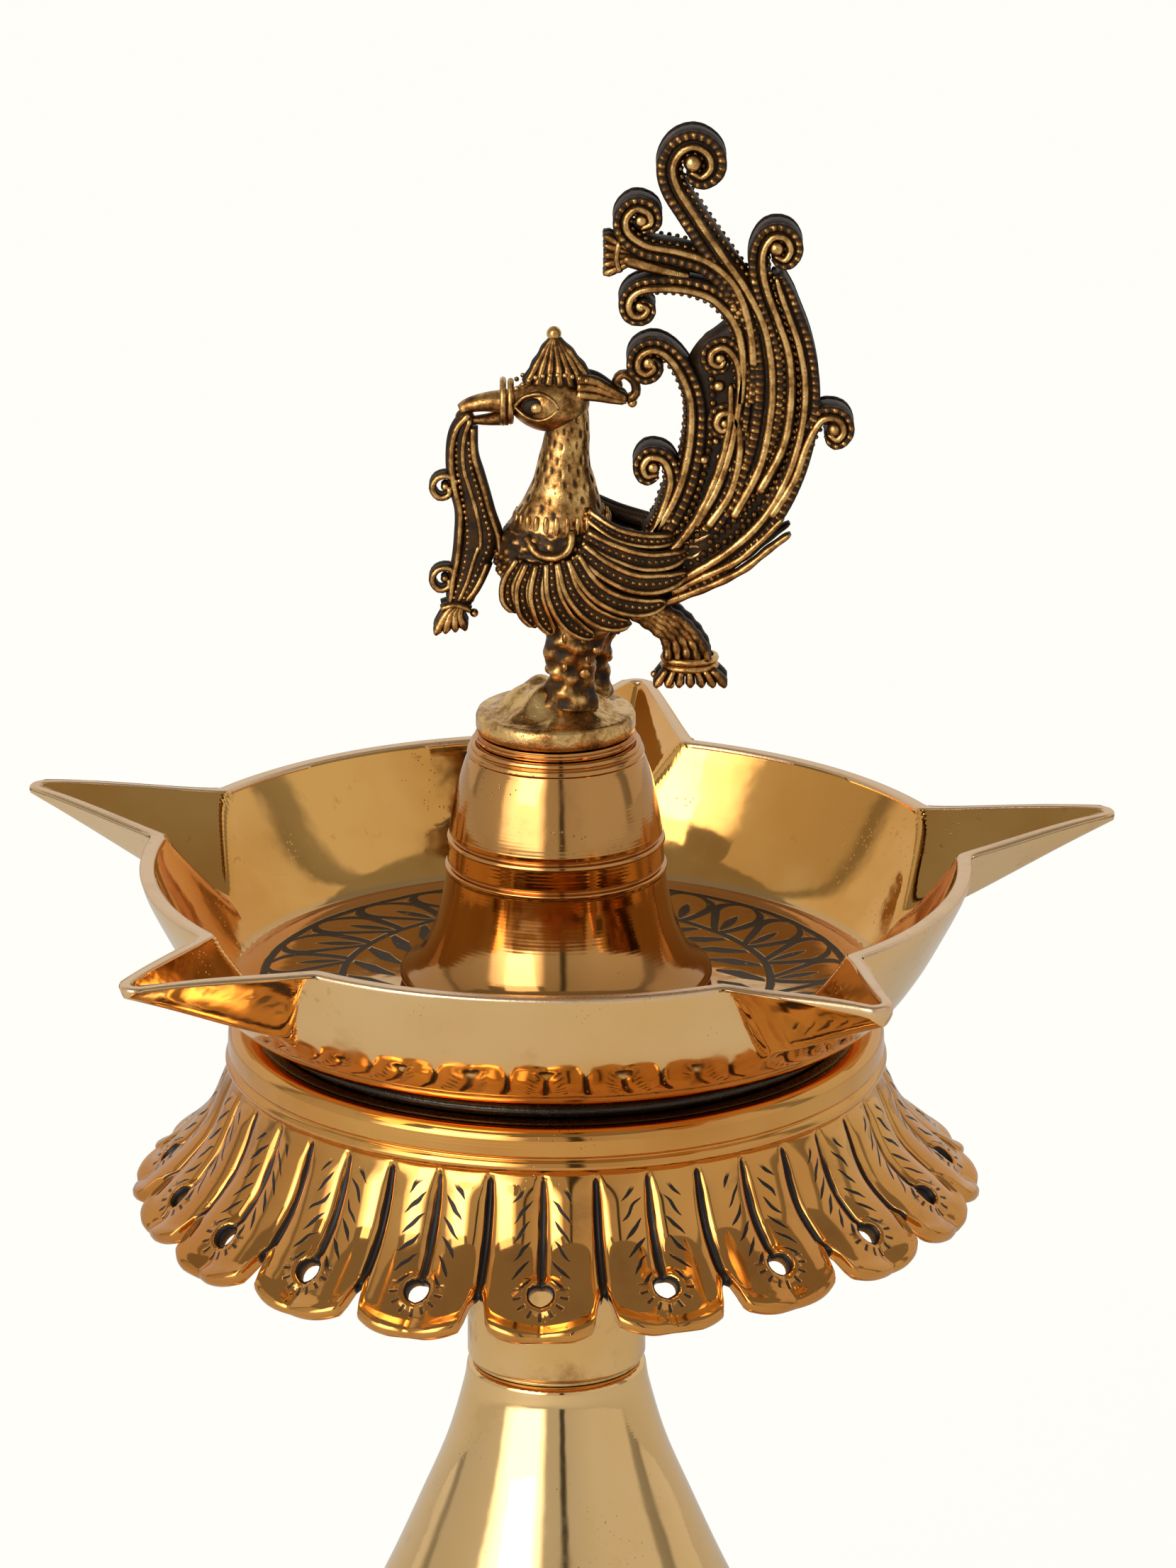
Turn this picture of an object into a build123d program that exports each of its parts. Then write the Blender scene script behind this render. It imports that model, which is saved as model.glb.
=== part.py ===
"""Standing oil lamp (samai) in four sections that screw on to one another.

Millimetres, +Z up. The origin is the middle of the face that the foot stands on, and the lamp's
axis is Z. The swan on top faces -X.
"""
import os

from build123d import *

# ---- levels up the lamp ------------------------------------------------------------------
base_top = 128.0          # seam between the base and the neck
skirt_top = 186.0         # flat top of the lotus skirt
dish_bottom = 188.6
dish_floor = 192.3
rim_level = 212.0         # top edge of the dish
column_bottom = 193.0
column_top = 232.0
finial_bottom = 233.5
gap = 0.1                 # air between faces that only rest on each other

# ---- base --------------------------------------------------------------------------------
foot_radius = 74.0
foot_bore = 67.0          # inside radius of the ring that the lamp stands on
neck_radius = 14.3
foot_joint = 26.4         # level where the foot ring meets the bell
cone_joint = 71.5         # level where the bell meets the cone

# ---- threads, drawn at their major diameter ------------------------------------------------
main_stud = 5.0           # radius of the two lower studs
top_stud = 3.5            # radius of the stud under the swan
thread_fit = 0.05         # radial clearance of a stud in its bore
base_stud_span = (114.0, 141.0)
dish_stud_span = (173.6, 205.6)
finial_stud_span = (221.0, 238.0)

# ---- lotus skirt ---------------------------------------------------------------------------
petals = 20
petal_start = -2.0        # bearing of the first petal's middle, degrees from the front
petal_tip_radius = 66.2
petal_tip_level = 156.4
petal_hole_radius = 61.0  # distance of each pierced hole from the axis
petal_hole_level = 162.5
petal_hole_size = 3.8

# ---- dish ----------------------------------------------------------------------------------
rim_radius = 65.5
dish_wall = 2.4
floor_radius = 47.5       # where the outside of the bowl starts to rise
spout_tip_radius = 91.6
spout_bearings = [-112.0, -45.0, 34.0, 103.0, 171.5]   # degrees from the front, towards +X
spout_root_radius = 50.0
spout_root_half_width = 18.5
spout_root_depth = 19.0
spout_nose_half_width = 3.3
spout_nose_depth = 4.2
spout_rise = 1.6          # how far the nose stands above the rim
seal_inner, seal_outer = 43.5, 47.5

# ---- column --------------------------------------------------------------------------------
column_foot_radius = 24.8
foot_bush_radius = 12.0
top_bush_radius = 8.0

# ---- swan ----------------------------------------------------------------------------------
disc_radius = 12.5
tail_thickness = 7.0
garland_thickness = 4.0


def turned(outline):
    """Solid of revolution about Z of a closed (radius, height) outline of edges."""
    face = make_face(outline)
    return revolve(Plane.XZ * face, Axis.Z, 360)


def tube(outer, inner, low, high):
    """Plain ring or, with no inner radius, a cylinder between two levels."""
    height = high - low
    body = Pos(0, 0, low + height / 2) * Cylinder(outer, height)
    if inner:
        body -= Pos(0, 0, low + height / 2) * Cylinder(inner, height + 2)
    return body


def between(body, low, high):
    """The part of a body that lies between two levels."""
    return body & tube(foot_radius + 5, 0, low, high)


def make_base():
    """Hollow base: concave cone under the seam, bead, ogee bell, rings and a flat foot.

    It is cast in three pieces that are brazed at the joints.
    """
    cone = Spline(
        (neck_radius, base_top), (15.2, 123.0), (18.0, 113.7), (22.6, 103.1), (27.4, 92.5), (34.6, 81.0),
        tangents=[(0.1, -1), (0.9, -1)],
    )
    bead = ThreePointArc((34.6, 81.0), (40.4, 78.2), (37.4, 74.6))
    cove = ThreePointArc((37.4, 74.6), (37.6, 71.8), (40.4, 70.6))
    bell = Spline((40.4, 70.6), (52.0, 64.5), (60.5, 50.0), (63.4, 33.0), tangents=[(1, -0.2), (0.1, -1)])
    ring = ThreePointArc((63.4, 33.0), (66.6, 30.4), (63.8, 27.6))
    scotia = ThreePointArc((63.8, 27.6), (65.0, 18.4), (72.0, 12.0))
    edge = ThreePointArc((72.0, 12.0), (foot_radius, 9.6), (73.4, 6.6))
    foot = Polyline((73.4, 6.6), (73.4, 1.0), (72.4, 0), (foot_bore, 0), (foot_bore, 5.0), (62.0, 14.0))
    inside = Spline((62.0, 14.0), (59.4, 34.0), (55.8, 50.0), (48.0, 61.0), (38.0, 66.5))
    throat = Polyline((38.0, 66.5), (30.0, 82.0), (13.0, 104.0), (11.0, 110.0), (main_stud, 110.0))
    bore = Polyline((main_stud, 110.0), (main_stud, base_top), (neck_radius, base_top))
    whole = turned(cone + bead + cove + bell + ring + scotia + edge + foot + inside + throat + bore)
    return {
        "foot_ring": between(whole, 0, foot_joint),
        "foot_bell": between(whole, foot_joint, cone_joint),
        "base_cone": between(whole, cone_joint, base_top),
    }


def stud(radius, span):
    """Screwed stud with its ends bevelled."""
    low, high = span
    body = tube(radius, 0, low, high)
    return chamfer(body.edges().filter_by(GeomType.CIRCLE), 0.8)


def make_neck_collar():
    """Turned neck: a plain barrel over the seam, a bead, and a flare up to the skirt's web."""
    low = base_top + 0.8
    blind = base_stud_span[1] + 0.5
    upper = dish_stud_span[0] - 0.5
    outside = Polyline((neck_radius - 0.6, low), (14.2, low + 0.6), (14.2, 146.0))
    bead = ThreePointArc((14.2, 146.0), (17.6, 149.0), (14.6, 152.0))
    flare = Spline((14.6, 152.0), (16.2, 162.0), (22.5, 174.0), (33.0, 182.4), tangents=[(0, 1), (1, 0.4)])
    socket = main_stud + thread_fit
    inside = Polyline(
        (33.0, 182.4), (socket, 182.4), (socket, upper), (0, upper), (0, blind),
        (socket, blind), (socket, low), (neck_radius - 0.6, low),
    )
    return turned(outside + bead + flare + inside)


def make_petal_skirt():
    """Lotus skirt: flat web and band, then petals that flare out to pierced, rounded tips."""
    bore = main_stud + thread_fit
    web = skirt_top - 3.6
    top = Polyline((bore, web), (bore, skirt_top), (50.0, skirt_top))
    shoulder = ThreePointArc((50.0, skirt_top), (51.5, 185.4), (52.0, 184.0))
    band = Line((52.0, 184.0), (52.0, 178.0))
    flare = Spline(
        (52.0, 178.0), (54.6, 171.5), (petal_hole_radius, petal_hole_level),
        (petal_tip_radius, petal_tip_level),
        tangents=[(0.15, -1), (1, -0.95)],
    )
    lip = ThreePointArc(
        (petal_tip_radius, petal_tip_level), (66.4, 155.4), (petal_tip_radius - 1.5, petal_tip_level - 1.5)
    )
    under = Spline(
        (petal_tip_radius - 1.5, petal_tip_level - 1.5), (59.4, 161.0), (52.9, 170.2), (50.2, 177.5)
    )
    inner = Polyline((50.2, 177.5), (50.2, 181.0), (48.8, web), (bore, web))
    skirt = turned(top + shoulder + band + flare + lip + under + inner)
    pitch = 360 / petals
    notch_plan = make_face(
        Polyline((59.6, 0), (64.0, -1.7), (70.0, -7.2), (70.0, 7.2), (64.0, 1.7), close=True)
    )
    notch = extrude(Pos(0, 0, 150) * notch_plan, 30)
    drill = Pos(petal_hole_radius, 0, petal_hole_level) * Rot(0, 40, 0) * Cylinder(petal_hole_size / 2, 16)
    cuts = []
    for number in range(petals):
        bearing = petal_start + number * pitch - 90
        cuts.append(Rot(0, 0, bearing) * drill)
        cuts.append(Rot(0, 0, bearing + pitch / 2) * notch)
    return skirt - cuts


def trough_section(radius, half_width, depth, lift):
    """V section across a spout, at a distance from the axis along +X."""
    plane = Plane(origin=(radius, 0, rim_level + lift), x_dir=(0, 1, 0), z_dir=(1, 0, 0))
    return plane * make_face(Polyline((-half_width, 0), (half_width, 0), (0, -depth), close=True))


def trough(shrink, lift):
    """Tapering V bar for one spout along +X. The hollow is the same bar, shrunk by the wall."""
    root = trough_section(spout_root_radius, spout_root_half_width - shrink,
                          spout_root_depth - shrink, lift)
    nose_width = spout_nose_half_width - shrink * 0.75
    nose_depth = spout_nose_depth - shrink * 0.75
    nose_at = spout_tip_radius - spout_nose_half_width
    nose = trough_section(nose_at, nose_width, nose_depth, lift + spout_rise)
    return loft([root, nose], ruled=True)


def bowl_profile(offset):
    """Half section of the bowl. Offset 0 is its outside, and a larger one its inside."""
    low = dish_bottom + (dish_floor - dish_bottom) * (offset > 0)
    foot = floor_radius - offset * 0.2
    mid = (58.6 - offset * 0.95, 198.4 + offset * 0.35)
    lip = rim_radius - offset
    wall = Spline(
        (foot, low), mid, (lip - 0.6, rim_level - 4.0), (lip, rim_level), tangents=[(1, 0.12), (0.06, 1)]
    )
    rest = Polyline((lip, rim_level), (0, rim_level), (0, low), (foot, low))
    return turned(wall + rest)


def make_oil_dish():
    """Round bowl with five pinched spouts, hollowed in one with its channels."""
    body = bowl_profile(0)
    hollow = bowl_profile(dish_wall)
    nose_at = spout_tip_radius - spout_nose_half_width
    for bearing in spout_bearings:
        turn = Rot(0, 0, bearing - 90)
        nose = Pos(nose_at, 0, rim_level + spout_rise - spout_nose_depth / 2) \
            * Cylinder(spout_nose_half_width, spout_nose_depth)
        body += turn * trough(0, 0)
        body += turn * nose
        hollow += turn * trough(dish_wall, 0.3)
    body -= hollow
    body -= tube(rim_radius - dish_wall - 4, 0, rim_level - 1, rim_level + 20)
    body -= tube(main_stud, 0, dish_bottom - 1, dish_floor + 1)
    return max(body.solids(), key=lambda solid: solid.volume)


def make_bell_column():
    """Bell shaped hollow column: barrel with two grooves, flaring to its foot on the dish floor."""
    foot = ThreePointArc((24.2, column_bottom), (column_foot_radius, 193.6), (24.2, 194.2))
    flare = Spline(
        (24.2, 194.2), (20.1, 197.9), (18.3, 203.2), (17.1, 211.0), tangents=[(-1, 0.6), (-0.08, 1)]
    )
    grooves = Polyline(
        (17.1, 211.0), (17.5, 211.3), (17.5, 211.9), (16.8, 212.1), (16.9, 215.9),
        (17.2, 216.1), (17.1, 216.5), (16.5, 216.7), (16.7, 217.2),
    )
    barrel = Spline((16.7, 217.2), (15.9, 221.8), (13.4, column_top), tangents=[(-0.05, 1), (-0.35, 1)])
    steps = Polyline(
        (13.4, column_top), (top_bush_radius, column_top), (top_bush_radius, 218.0), (11.2, 216.0),
        (foot_bush_radius, 207.0), (foot_bush_radius, column_bottom), (24.2, column_bottom),
    )
    return turned(foot + flare + grooves + barrel + steps)


def rod(start, end, radius, end_radius):
    """Tapered round bar between two points."""
    start = Vector(*start)
    end = Vector(*end)
    plane = Plane(origin=start, z_dir=end - start)
    length = (end - start).length
    if abs(radius - end_radius) < 0.01:
        return plane * Pos(0, 0, length / 2) * Cylinder(radius, length)
    return plane * Pos(0, 0, length / 2) * Cone(radius, end_radius, length)


def lump(centre, radii, tilt=0):
    """Egg shaped mass, tilted about Y."""
    return Pos(*centre) * Rot(0, tilt, 0) * scale(Sphere(1), by=radii)


def plate(points, thickness):
    """Flat casting in the swan's own X-Z plane with its middle on Y = 0."""
    face = Plane.XZ * make_face(Polyline(*points, close=True))
    return extrude(face, thickness / 2, both=True)


def scroll(x, z, radius, thickness):
    """Rolled end of a plume: a short drum across Y, dished on both sides."""
    drum = Pos(x, 0, z) * Rot(90, 0, 0) * Cylinder(radius, thickness)
    dish = Cylinder(radius * 0.45, 1.6)
    for side in (-1, 1):
        drum -= Pos(x, side * thickness / 2, z) * Rot(90, 0, 0) * dish
    return drum


def tail_plume():
    """Tall fan of plumes behind the swan, with a rolled end on each plume."""
    inner_edge = [(12, 30), (17.0, 36.5), (18.6, 42), (19.7, 50), (19.2, 56), (15.0, 62), (21.5, 63.4)]
    middle_plume = [(25.6, 67.4), (20.5, 71.6), (11.5, 74.0), (9.0, 79.0), (11.5, 82.6), (18.0, 80.4)]
    top_plume = [(24.2, 78.0), (17.2, 86.0), (15.2, 92.0), (22.4, 89.4), (27.4, 83.2)]
    outer_edge = [(31.0, 80.6), (35.2, 73.8), (38.2, 66.5), (40.2, 57.0), (40.2, 45.0), (37.2, 37.8)]
    lower_edge = [(34.6, 33.0), (30.6, 27.2), (25.0, 24.0), (18.0, 20.6), (8.0, 19.0)]
    fan = plate(inner_edge + middle_plume + top_plume + outer_edge + lower_edge, tail_thickness)
    fan += rod((30.0, 0, 28.6), (35.8, 0, 32.0), 2.0, 1.2)
    scrolls = [
        (21.2, 94.0, 5.4), (33.9, 80.2, 4.3), (12.9, 84.9, 4.1), (12.4, 70.9, 3.4),
        (14.4, 62.0, 3.9), (43.0, 51.0, 4.0), (14.9, 44.3, 3.5),
    ]
    for x, z, radius in scrolls:
        fan += scroll(x, z, radius, tail_thickness + 1)
    fan += plate([(14.9, 40.9), (19.6, 40.0), (20.2, 47.0), (14.9, 47.8)], tail_thickness)
    return fan


def swan_body():
    """Body, wings, neck, head with its crest and beak, and the two legs."""
    bird = lump((5.5, 0, 26.5), (15.0, 8.4, 9.4), 8)
    for side in (-1, 1):
        bird += lump((6.0, side * 6.4, 26.0), (14.0, 3.6, 7.6), 16)
        bird += rod((4.0, side * 4.2, 20.0), (2.6, side * 3.6, 5.0), 4.2, 3.0)
    bird += rod((-1.2, 0, 31.0), (2.3, 0, 51.0), 6.4, 3.6)
    bird += lump((-1.6, 0, 53.6), (6.4, 4.8, 4.7))
    bird += rod((-1.2, 0, 56.6), (-0.2, 0, 63.6), 4.2, 1.3)
    bird += lump((-0.2, 0, 64.0), (1.4, 1.4, 1.5))
    bird += rod((2.0, 0, 57.8), (10.4, 0, 55.6), 2.4, 1.4)
    bird += scroll(10.6, 56.6, 2.0, 4.0)
    bird += rod((-7.2, 0, 53.2), (-8.9, 0, 53.0), 3.3, 3.3)
    bird += rod((-8.0, 0, 53.2), (-14.4, 0, 51.8), 2.4, 1.2)
    bird += rod((-8.0, 0, 51.4), (-13.6, 0, 50.0), 1.6, 0.9)
    return bird


def garland():
    """Strands that hang from the beak, touch the breast and end in a tassel."""
    strands = plate(
        [(-13.0, 52.0), (-15.6, 50.6), (-16.2, 47.0), (-16.0, 42.0), (-14.8, 37.0),
         (-14.9, 32.0), (-16.0, 26.0), (-17.6, 21.0), (-13.0, 20.2), (-10.0, 27.4),
         (-7.6, 28.6), (-8.6, 32.0), (-11.0, 40.0), (-13.0, 44.0)],
        garland_thickness,
    )
    strands += plate([(-17.4, 21.2), (-19.3, 16.6), (-17.6, 15.7), (-13.1, 17.4), (-12.9, 20.4)], 5.0)
    for x, z in ((-17.4, 39.8), (-17.5, 25.0)):
        strands += scroll(x, z, 2.1, garland_thickness)
    return strands


def hind_tassel():
    """Plume that drops behind the legs and ends in a fringed cuff."""
    tassel = plate([(11.5, 20.0), (18.8, 21.5), (23.2, 15.6), (24.0, 12.0), (16.9, 12.0), (14.6, 16.4)], 6.4)
    tassel += Pos(20.8, 0, 11.6) * Rot(0, 6, 0) * scale(Cylinder(1, 1.6), by=(4.4, 4.0, 1))
    tassel += Pos(20.9, 0, 9.2) * Rot(0, 6, 0) * scale(Cylinder(1, 3.4), by=(5.6, 4.4, 1))
    return tassel


def make_bird_finial():
    """The swan and its disc are one casting, drawn about its own foot and then lifted into place."""
    edge_height = 3.6
    disc = Pos(0, 0, edge_height / 2) * fillet(
        Cylinder(disc_radius, edge_height).edges().filter_by(GeomType.CIRCLE), 0.9
    )
    mound = Pos(0, 0, edge_height + 1.3) * Cone(disc_radius - 1.2, 5.2, 3.4)
    bird = disc + mound + swan_body() + tail_plume() + garland() + hind_tassel()
    bird -= Pos(0, 0, 2.0) * Cylinder(top_stud, 5.0)
    return Pos(0, 0, finial_bottom) * max(bird.solids(), key=lambda solid: solid.volume)


def build_parts():
    foot_bush = tube(foot_bush_radius, main_stud + thread_fit, column_bottom, 206.6)
    top_bush = tube(top_bush_radius, top_stud + thread_fit, 218.2, column_top)
    return {
        **make_base(),
        "base_stud": stud(main_stud, base_stud_span),
        "neck_washer": tube(13.6, main_stud + 0.3, base_top + gap, base_top + 0.8 - gap),
        "neck_collar": make_neck_collar(),
        "petal_skirt": make_petal_skirt(),
        "seal_ring": tube(seal_outer, seal_inner, skirt_top + gap, dish_bottom - gap),
        "oil_dish": make_oil_dish(),
        "dish_stud": stud(main_stud, dish_stud_span),
        "column_washer": tube(22.5, main_stud + 0.3, dish_floor + gap, column_bottom - gap),
        "bell_column": make_bell_column(),
        "column_foot_bush": foot_bush,
        "column_top_bush": top_bush,
        "finial_washer": tube(12.8, top_stud + 0.3, column_top + gap, finial_bottom - gap),
        "bird_finial": make_bird_finial(),
        "finial_stud": stud(top_stud, finial_stud_span),
    }


os.makedirs("parts", exist_ok=True)
for node, shape in build_parts().items():
    export_step(shape, f"parts/{node}.step")
    print(node, round(shape.volume / 1000, 1), "cm3")
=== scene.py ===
import bmesh
import bpy
import numpy as np
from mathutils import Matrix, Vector


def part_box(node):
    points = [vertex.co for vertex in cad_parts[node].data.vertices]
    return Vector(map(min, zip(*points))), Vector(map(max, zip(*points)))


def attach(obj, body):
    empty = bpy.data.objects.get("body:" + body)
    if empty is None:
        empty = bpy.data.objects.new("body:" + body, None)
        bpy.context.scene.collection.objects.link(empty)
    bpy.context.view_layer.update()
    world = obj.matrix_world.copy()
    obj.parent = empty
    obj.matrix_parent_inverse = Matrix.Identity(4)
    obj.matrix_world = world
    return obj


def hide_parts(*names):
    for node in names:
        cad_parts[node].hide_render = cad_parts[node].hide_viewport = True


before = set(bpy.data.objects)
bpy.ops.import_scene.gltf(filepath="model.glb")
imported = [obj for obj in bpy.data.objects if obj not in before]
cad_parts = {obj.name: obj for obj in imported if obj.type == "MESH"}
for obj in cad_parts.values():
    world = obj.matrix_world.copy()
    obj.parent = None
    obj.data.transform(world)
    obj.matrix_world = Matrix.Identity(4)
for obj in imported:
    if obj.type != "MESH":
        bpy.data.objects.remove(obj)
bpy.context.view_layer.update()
mm = 0.001
tau = 2 * np.pi


def spanOf(node):
    # lowest and highest level of a CAD node, in millimetres
    low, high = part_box(node)
    return low.z / mm, high.z / mm


baseTop = spanOf("base_cone")[1]
skirtTop = spanOf("petal_skirt")[1]
sealLow, sealHigh = spanOf("seal_ring")
dishLow = spanOf("oil_dish")[0]
rimUp, floorUp = 23.4, 3.7  # rim and floor over the dish's underside
rimLevel, dishFloor = dishLow + rimUp, dishLow + floorUp
columnLow, columnTop = spanOf("bell_column")
birdLow = spanOf("bird_finial")[0]
print("frame read: seam", round(baseTop, 1), "rim", round(rimLevel, 1), "bird", round(birdLow, 1))


# shader maths
class Flow:
    # one output socket; sums written on it become Math nodes in its tree
    def __init__(self, finish, socket):
        self.finish = finish
        self.socket = socket

    def __add__(self, other): return self.finish.math("ADD", self, other)
    def __radd__(self, other): return self.finish.math("ADD", other, self)
    def __sub__(self, other): return self.finish.math("SUBTRACT", self, other)
    def __rsub__(self, other): return self.finish.math("SUBTRACT", other, self)
    def __mul__(self, other): return self.finish.math("MULTIPLY", self, other)
    def __rmul__(self, other): return self.finish.math("MULTIPLY", other, self)
    def __truediv__(self, other): return self.finish.math("DIVIDE", self, other)
    def __rtruediv__(self, other): return self.finish.math("DIVIDE", other, self)


class Finish:
    # a material or a world under construction
    def __init__(self, name, world=False):
        self.owner = (bpy.data.worlds if world else bpy.data.materials).new(name)
        self.owner.use_nodes = True
        self.tree = self.owner.node_tree
        self.shader = self.tree.nodes["Background" if world else "Principled BSDF"]

    def node(self, kind, settings=None, inputs=None, output=0):
        made = self.tree.nodes.new(kind)
        for key, value in (settings or {}).items():
            if key == "stops":
                self.setStops(made.color_ramp, value)
            else:
                setattr(made, key, value)
        for key, value in (inputs or {}).items():
            self.feed(made.inputs[key], value)
        return Flow(self, made.outputs[output])

    def feed(self, socket, value):
        if isinstance(value, Flow):
            self.tree.links.new(value.socket, socket)
        elif isinstance(value, tuple) and len(value) == 3 and socket.type == "RGBA":
            socket.default_value = (*value, 1.0)
        else:
            socket.default_value = value

    def setStops(self, ramp, stops):
        while len(ramp.elements) < len(stops):
            ramp.elements.new(0.5)
        for element, (place, colour) in zip(ramp.elements, stops):
            element.position = place
            element.color = (*colour, 1.0)

    def finish(self, inputs):
        for key, value in inputs.items():
            self.feed(self.shader.inputs[key], value)
        return self.owner

    # short forms of the nodes that the finishes share
    def math(self, operation, a, b=0.0):
        return self.node("ShaderNodeMath", {"operation": operation}, {0: a, 1: b})

    def absolute(self, a):
        return self.math("ABSOLUTE", a)

    def highest(self, *values):
        top = values[0]
        for value in values[1:]:
            top = self.math("MAXIMUM", top, value)
        return top

    def step(self, value, low, high):
        # 0 below low, 1 above high, smooth between
        return self.node("ShaderNodeMapRange", {"interpolation_type": "SMOOTHSTEP"},
                         {0: value, 1: low, 2: high})

    def noise(self, place, scale, detail=3.0, rough=0.55):
        return self.node("ShaderNodeTexNoise", {}, {"Vector": place, "Scale": scale, "Detail": detail,
                                                    "Roughness": rough})

    def pits(self, place, scale, wide, where):
        # round spots of a cell pattern, kept where the mask is bright
        cells = self.node("ShaderNodeTexVoronoi", {"feature": "F1"}, {"Vector": place, "Scale": scale})
        return (1 - self.step(cells, 0.05, wide)) * where

    def mix(self, amount, colourA, colourB):
        return self.node("ShaderNodeMix", {"data_type": "RGBA"}, {0: amount, 6: colourA, 7: colourB}, 2)

    def bump(self, height, distance):
        return self.node("ShaderNodeBump", {}, {"Height": height, "Distance": distance, "Strength": 1.0})

    def mark(self, name):
        return self.node("ShaderNodeAttribute", {"attribute_name": name}, output=2)

    def axes(self, place):
        return [self.node("ShaderNodeSeparateXYZ", {}, {0: place}, axis) for axis in range(3)]

    def place(self):
        # Object coordinates
        return self.node("ShaderNodeTexCoord", output=3)


# mesh making
def curve(points, steps):
    # smooth curve through given points: Catmull-Rom, so each span is the cubic whose slope at a point is
    # half the step between that point's neighbours
    knots = np.asarray(points, float)
    padded = np.vstack([2 * knots[0] - knots[1], knots, 2 * knots[-1] - knots[-2]])
    place = np.linspace(0, len(knots) - 1, steps)
    span = np.minimum(place.astype(int), len(knots) - 2)
    t = (place - span)[:, None]
    a, b, c, d = (padded[span + k] for k in range(4))
    return 0.5 * (2 * b + (c - a) * t + (2 * a - 5 * b + 4 * c - d) * t ** 2
                  + (3 * b - a - 3 * c + d) * t ** 3)


def evenly(line, steps):
    # the same line with points at equal distances along it
    run = np.append(0, np.cumsum(np.linalg.norm(np.diff(line, axis=0), axis=1)))
    places = np.linspace(0, run[-1], steps)
    return np.stack([np.interp(places, run, line[:, k]) for k in range(line.shape[1])], -1)


def turning(points, step=1.2):
    # straight runs whose corners are rounded by each point's third value, a parabola that touches both runs;
    # long runs are divided into steps
    spots = np.array([p[:2] for p in points], float)
    radii = [p[2] if len(p) > 2 else 0.0 for p in points]
    out = [spots[:1]]
    for k in range(1, len(spots) - 1):
        back, ahead = spots[k - 1] - spots[k], spots[k + 1] - spots[k]
        reach = min(radii[k], 0.45 * np.linalg.norm(back), 0.45 * np.linalg.norm(ahead))
        start = spots[k] + back / np.linalg.norm(back) * reach
        end = spots[k] + ahead / np.linalg.norm(ahead) * reach
        t = np.linspace(0, 1, 7)[:, None]
        bend = (1 - t) ** 2 * start + 2 * t * (1 - t) * spots[k] + t ** 2 * end
        out.append(bend if reach > 0 else spots[k:k + 1])
    line = np.vstack(out + [spots[-1:]])
    counts = np.maximum(1, np.ceil(np.linalg.norm(np.diff(line, axis=0), axis=1) / step).astype(int))
    runs = [line[k] + (line[k + 1] - line[k]) * (np.arange(n)[:, None] / n) for k, n in enumerate(counts)]
    return np.vstack(runs + [line[-1:]])


def smoothStep(value, low, high):
    t = np.clip((value - low) / (high - low), 0, 1)
    return t * t * (3 - 2 * t)


def gridFaces(nu, nv, loop):
    # corner numbers of the faces of a grid of nu by nv points; u runs round the section, v along it
    index = np.arange(nu * nv).reshape(nu, nv)
    a = np.vstack([index, index[:1]])
    a = np.hstack([a, a[:, :1]]) if loop else a
    return np.stack([a[:-1, :-1], a[1:, :-1], a[1:, 1:], a[:-1, 1:]], -1)


def shell(points, loop=False, marks=0.0):
    # a grid of points (u, v, xyz) as a closed sheet: its last row joins the first one in a loop, and otherwise
    # a fan closes each end
    nu, nv = points.shape[:2]
    verts = points.reshape(-1, 3)
    quads = gridFaces(nu, nv, loop).reshape(-1, 4)
    worn = np.asarray(marks, float)
    worn = worn if worn.ndim == 3 else np.broadcast_to(worn, (nu, nv))[..., None]
    worn = worn.reshape(nu * nv, -1)
    tris = np.zeros((0, 3), int)
    if not loop:
        index = np.arange(nu * nv).reshape(nu, nv)
        verts = np.vstack([verts, points[:, 0].mean(0), points[:, -1].mean(0)])
        worn = np.vstack([worn, worn[index[:, 0]].mean(0), worn[index[:, -1]].mean(0)])
        head, tail = index[:, 0], index[:, -1]
        tris = np.vstack([np.stack([np.full(nu, nu * nv), np.roll(head, -1), head], -1),
                          np.stack([np.full(nu, nu * nv + 1), tail, np.roll(tail, -1)], -1)])
    return verts, quads, tris, worn


def lathe(profile, around):
    # a closed outline of (radius, level) carried round the axis
    angle = np.arange(around) / around * tau
    r, z = profile[:, 0], profile[:, 1]
    points = np.stack([np.outer(np.sin(angle), r), np.outer(-np.cos(angle), r),
                       np.broadcast_to(z, (around, len(z)))], -1)
    return shell(points, True)


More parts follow.
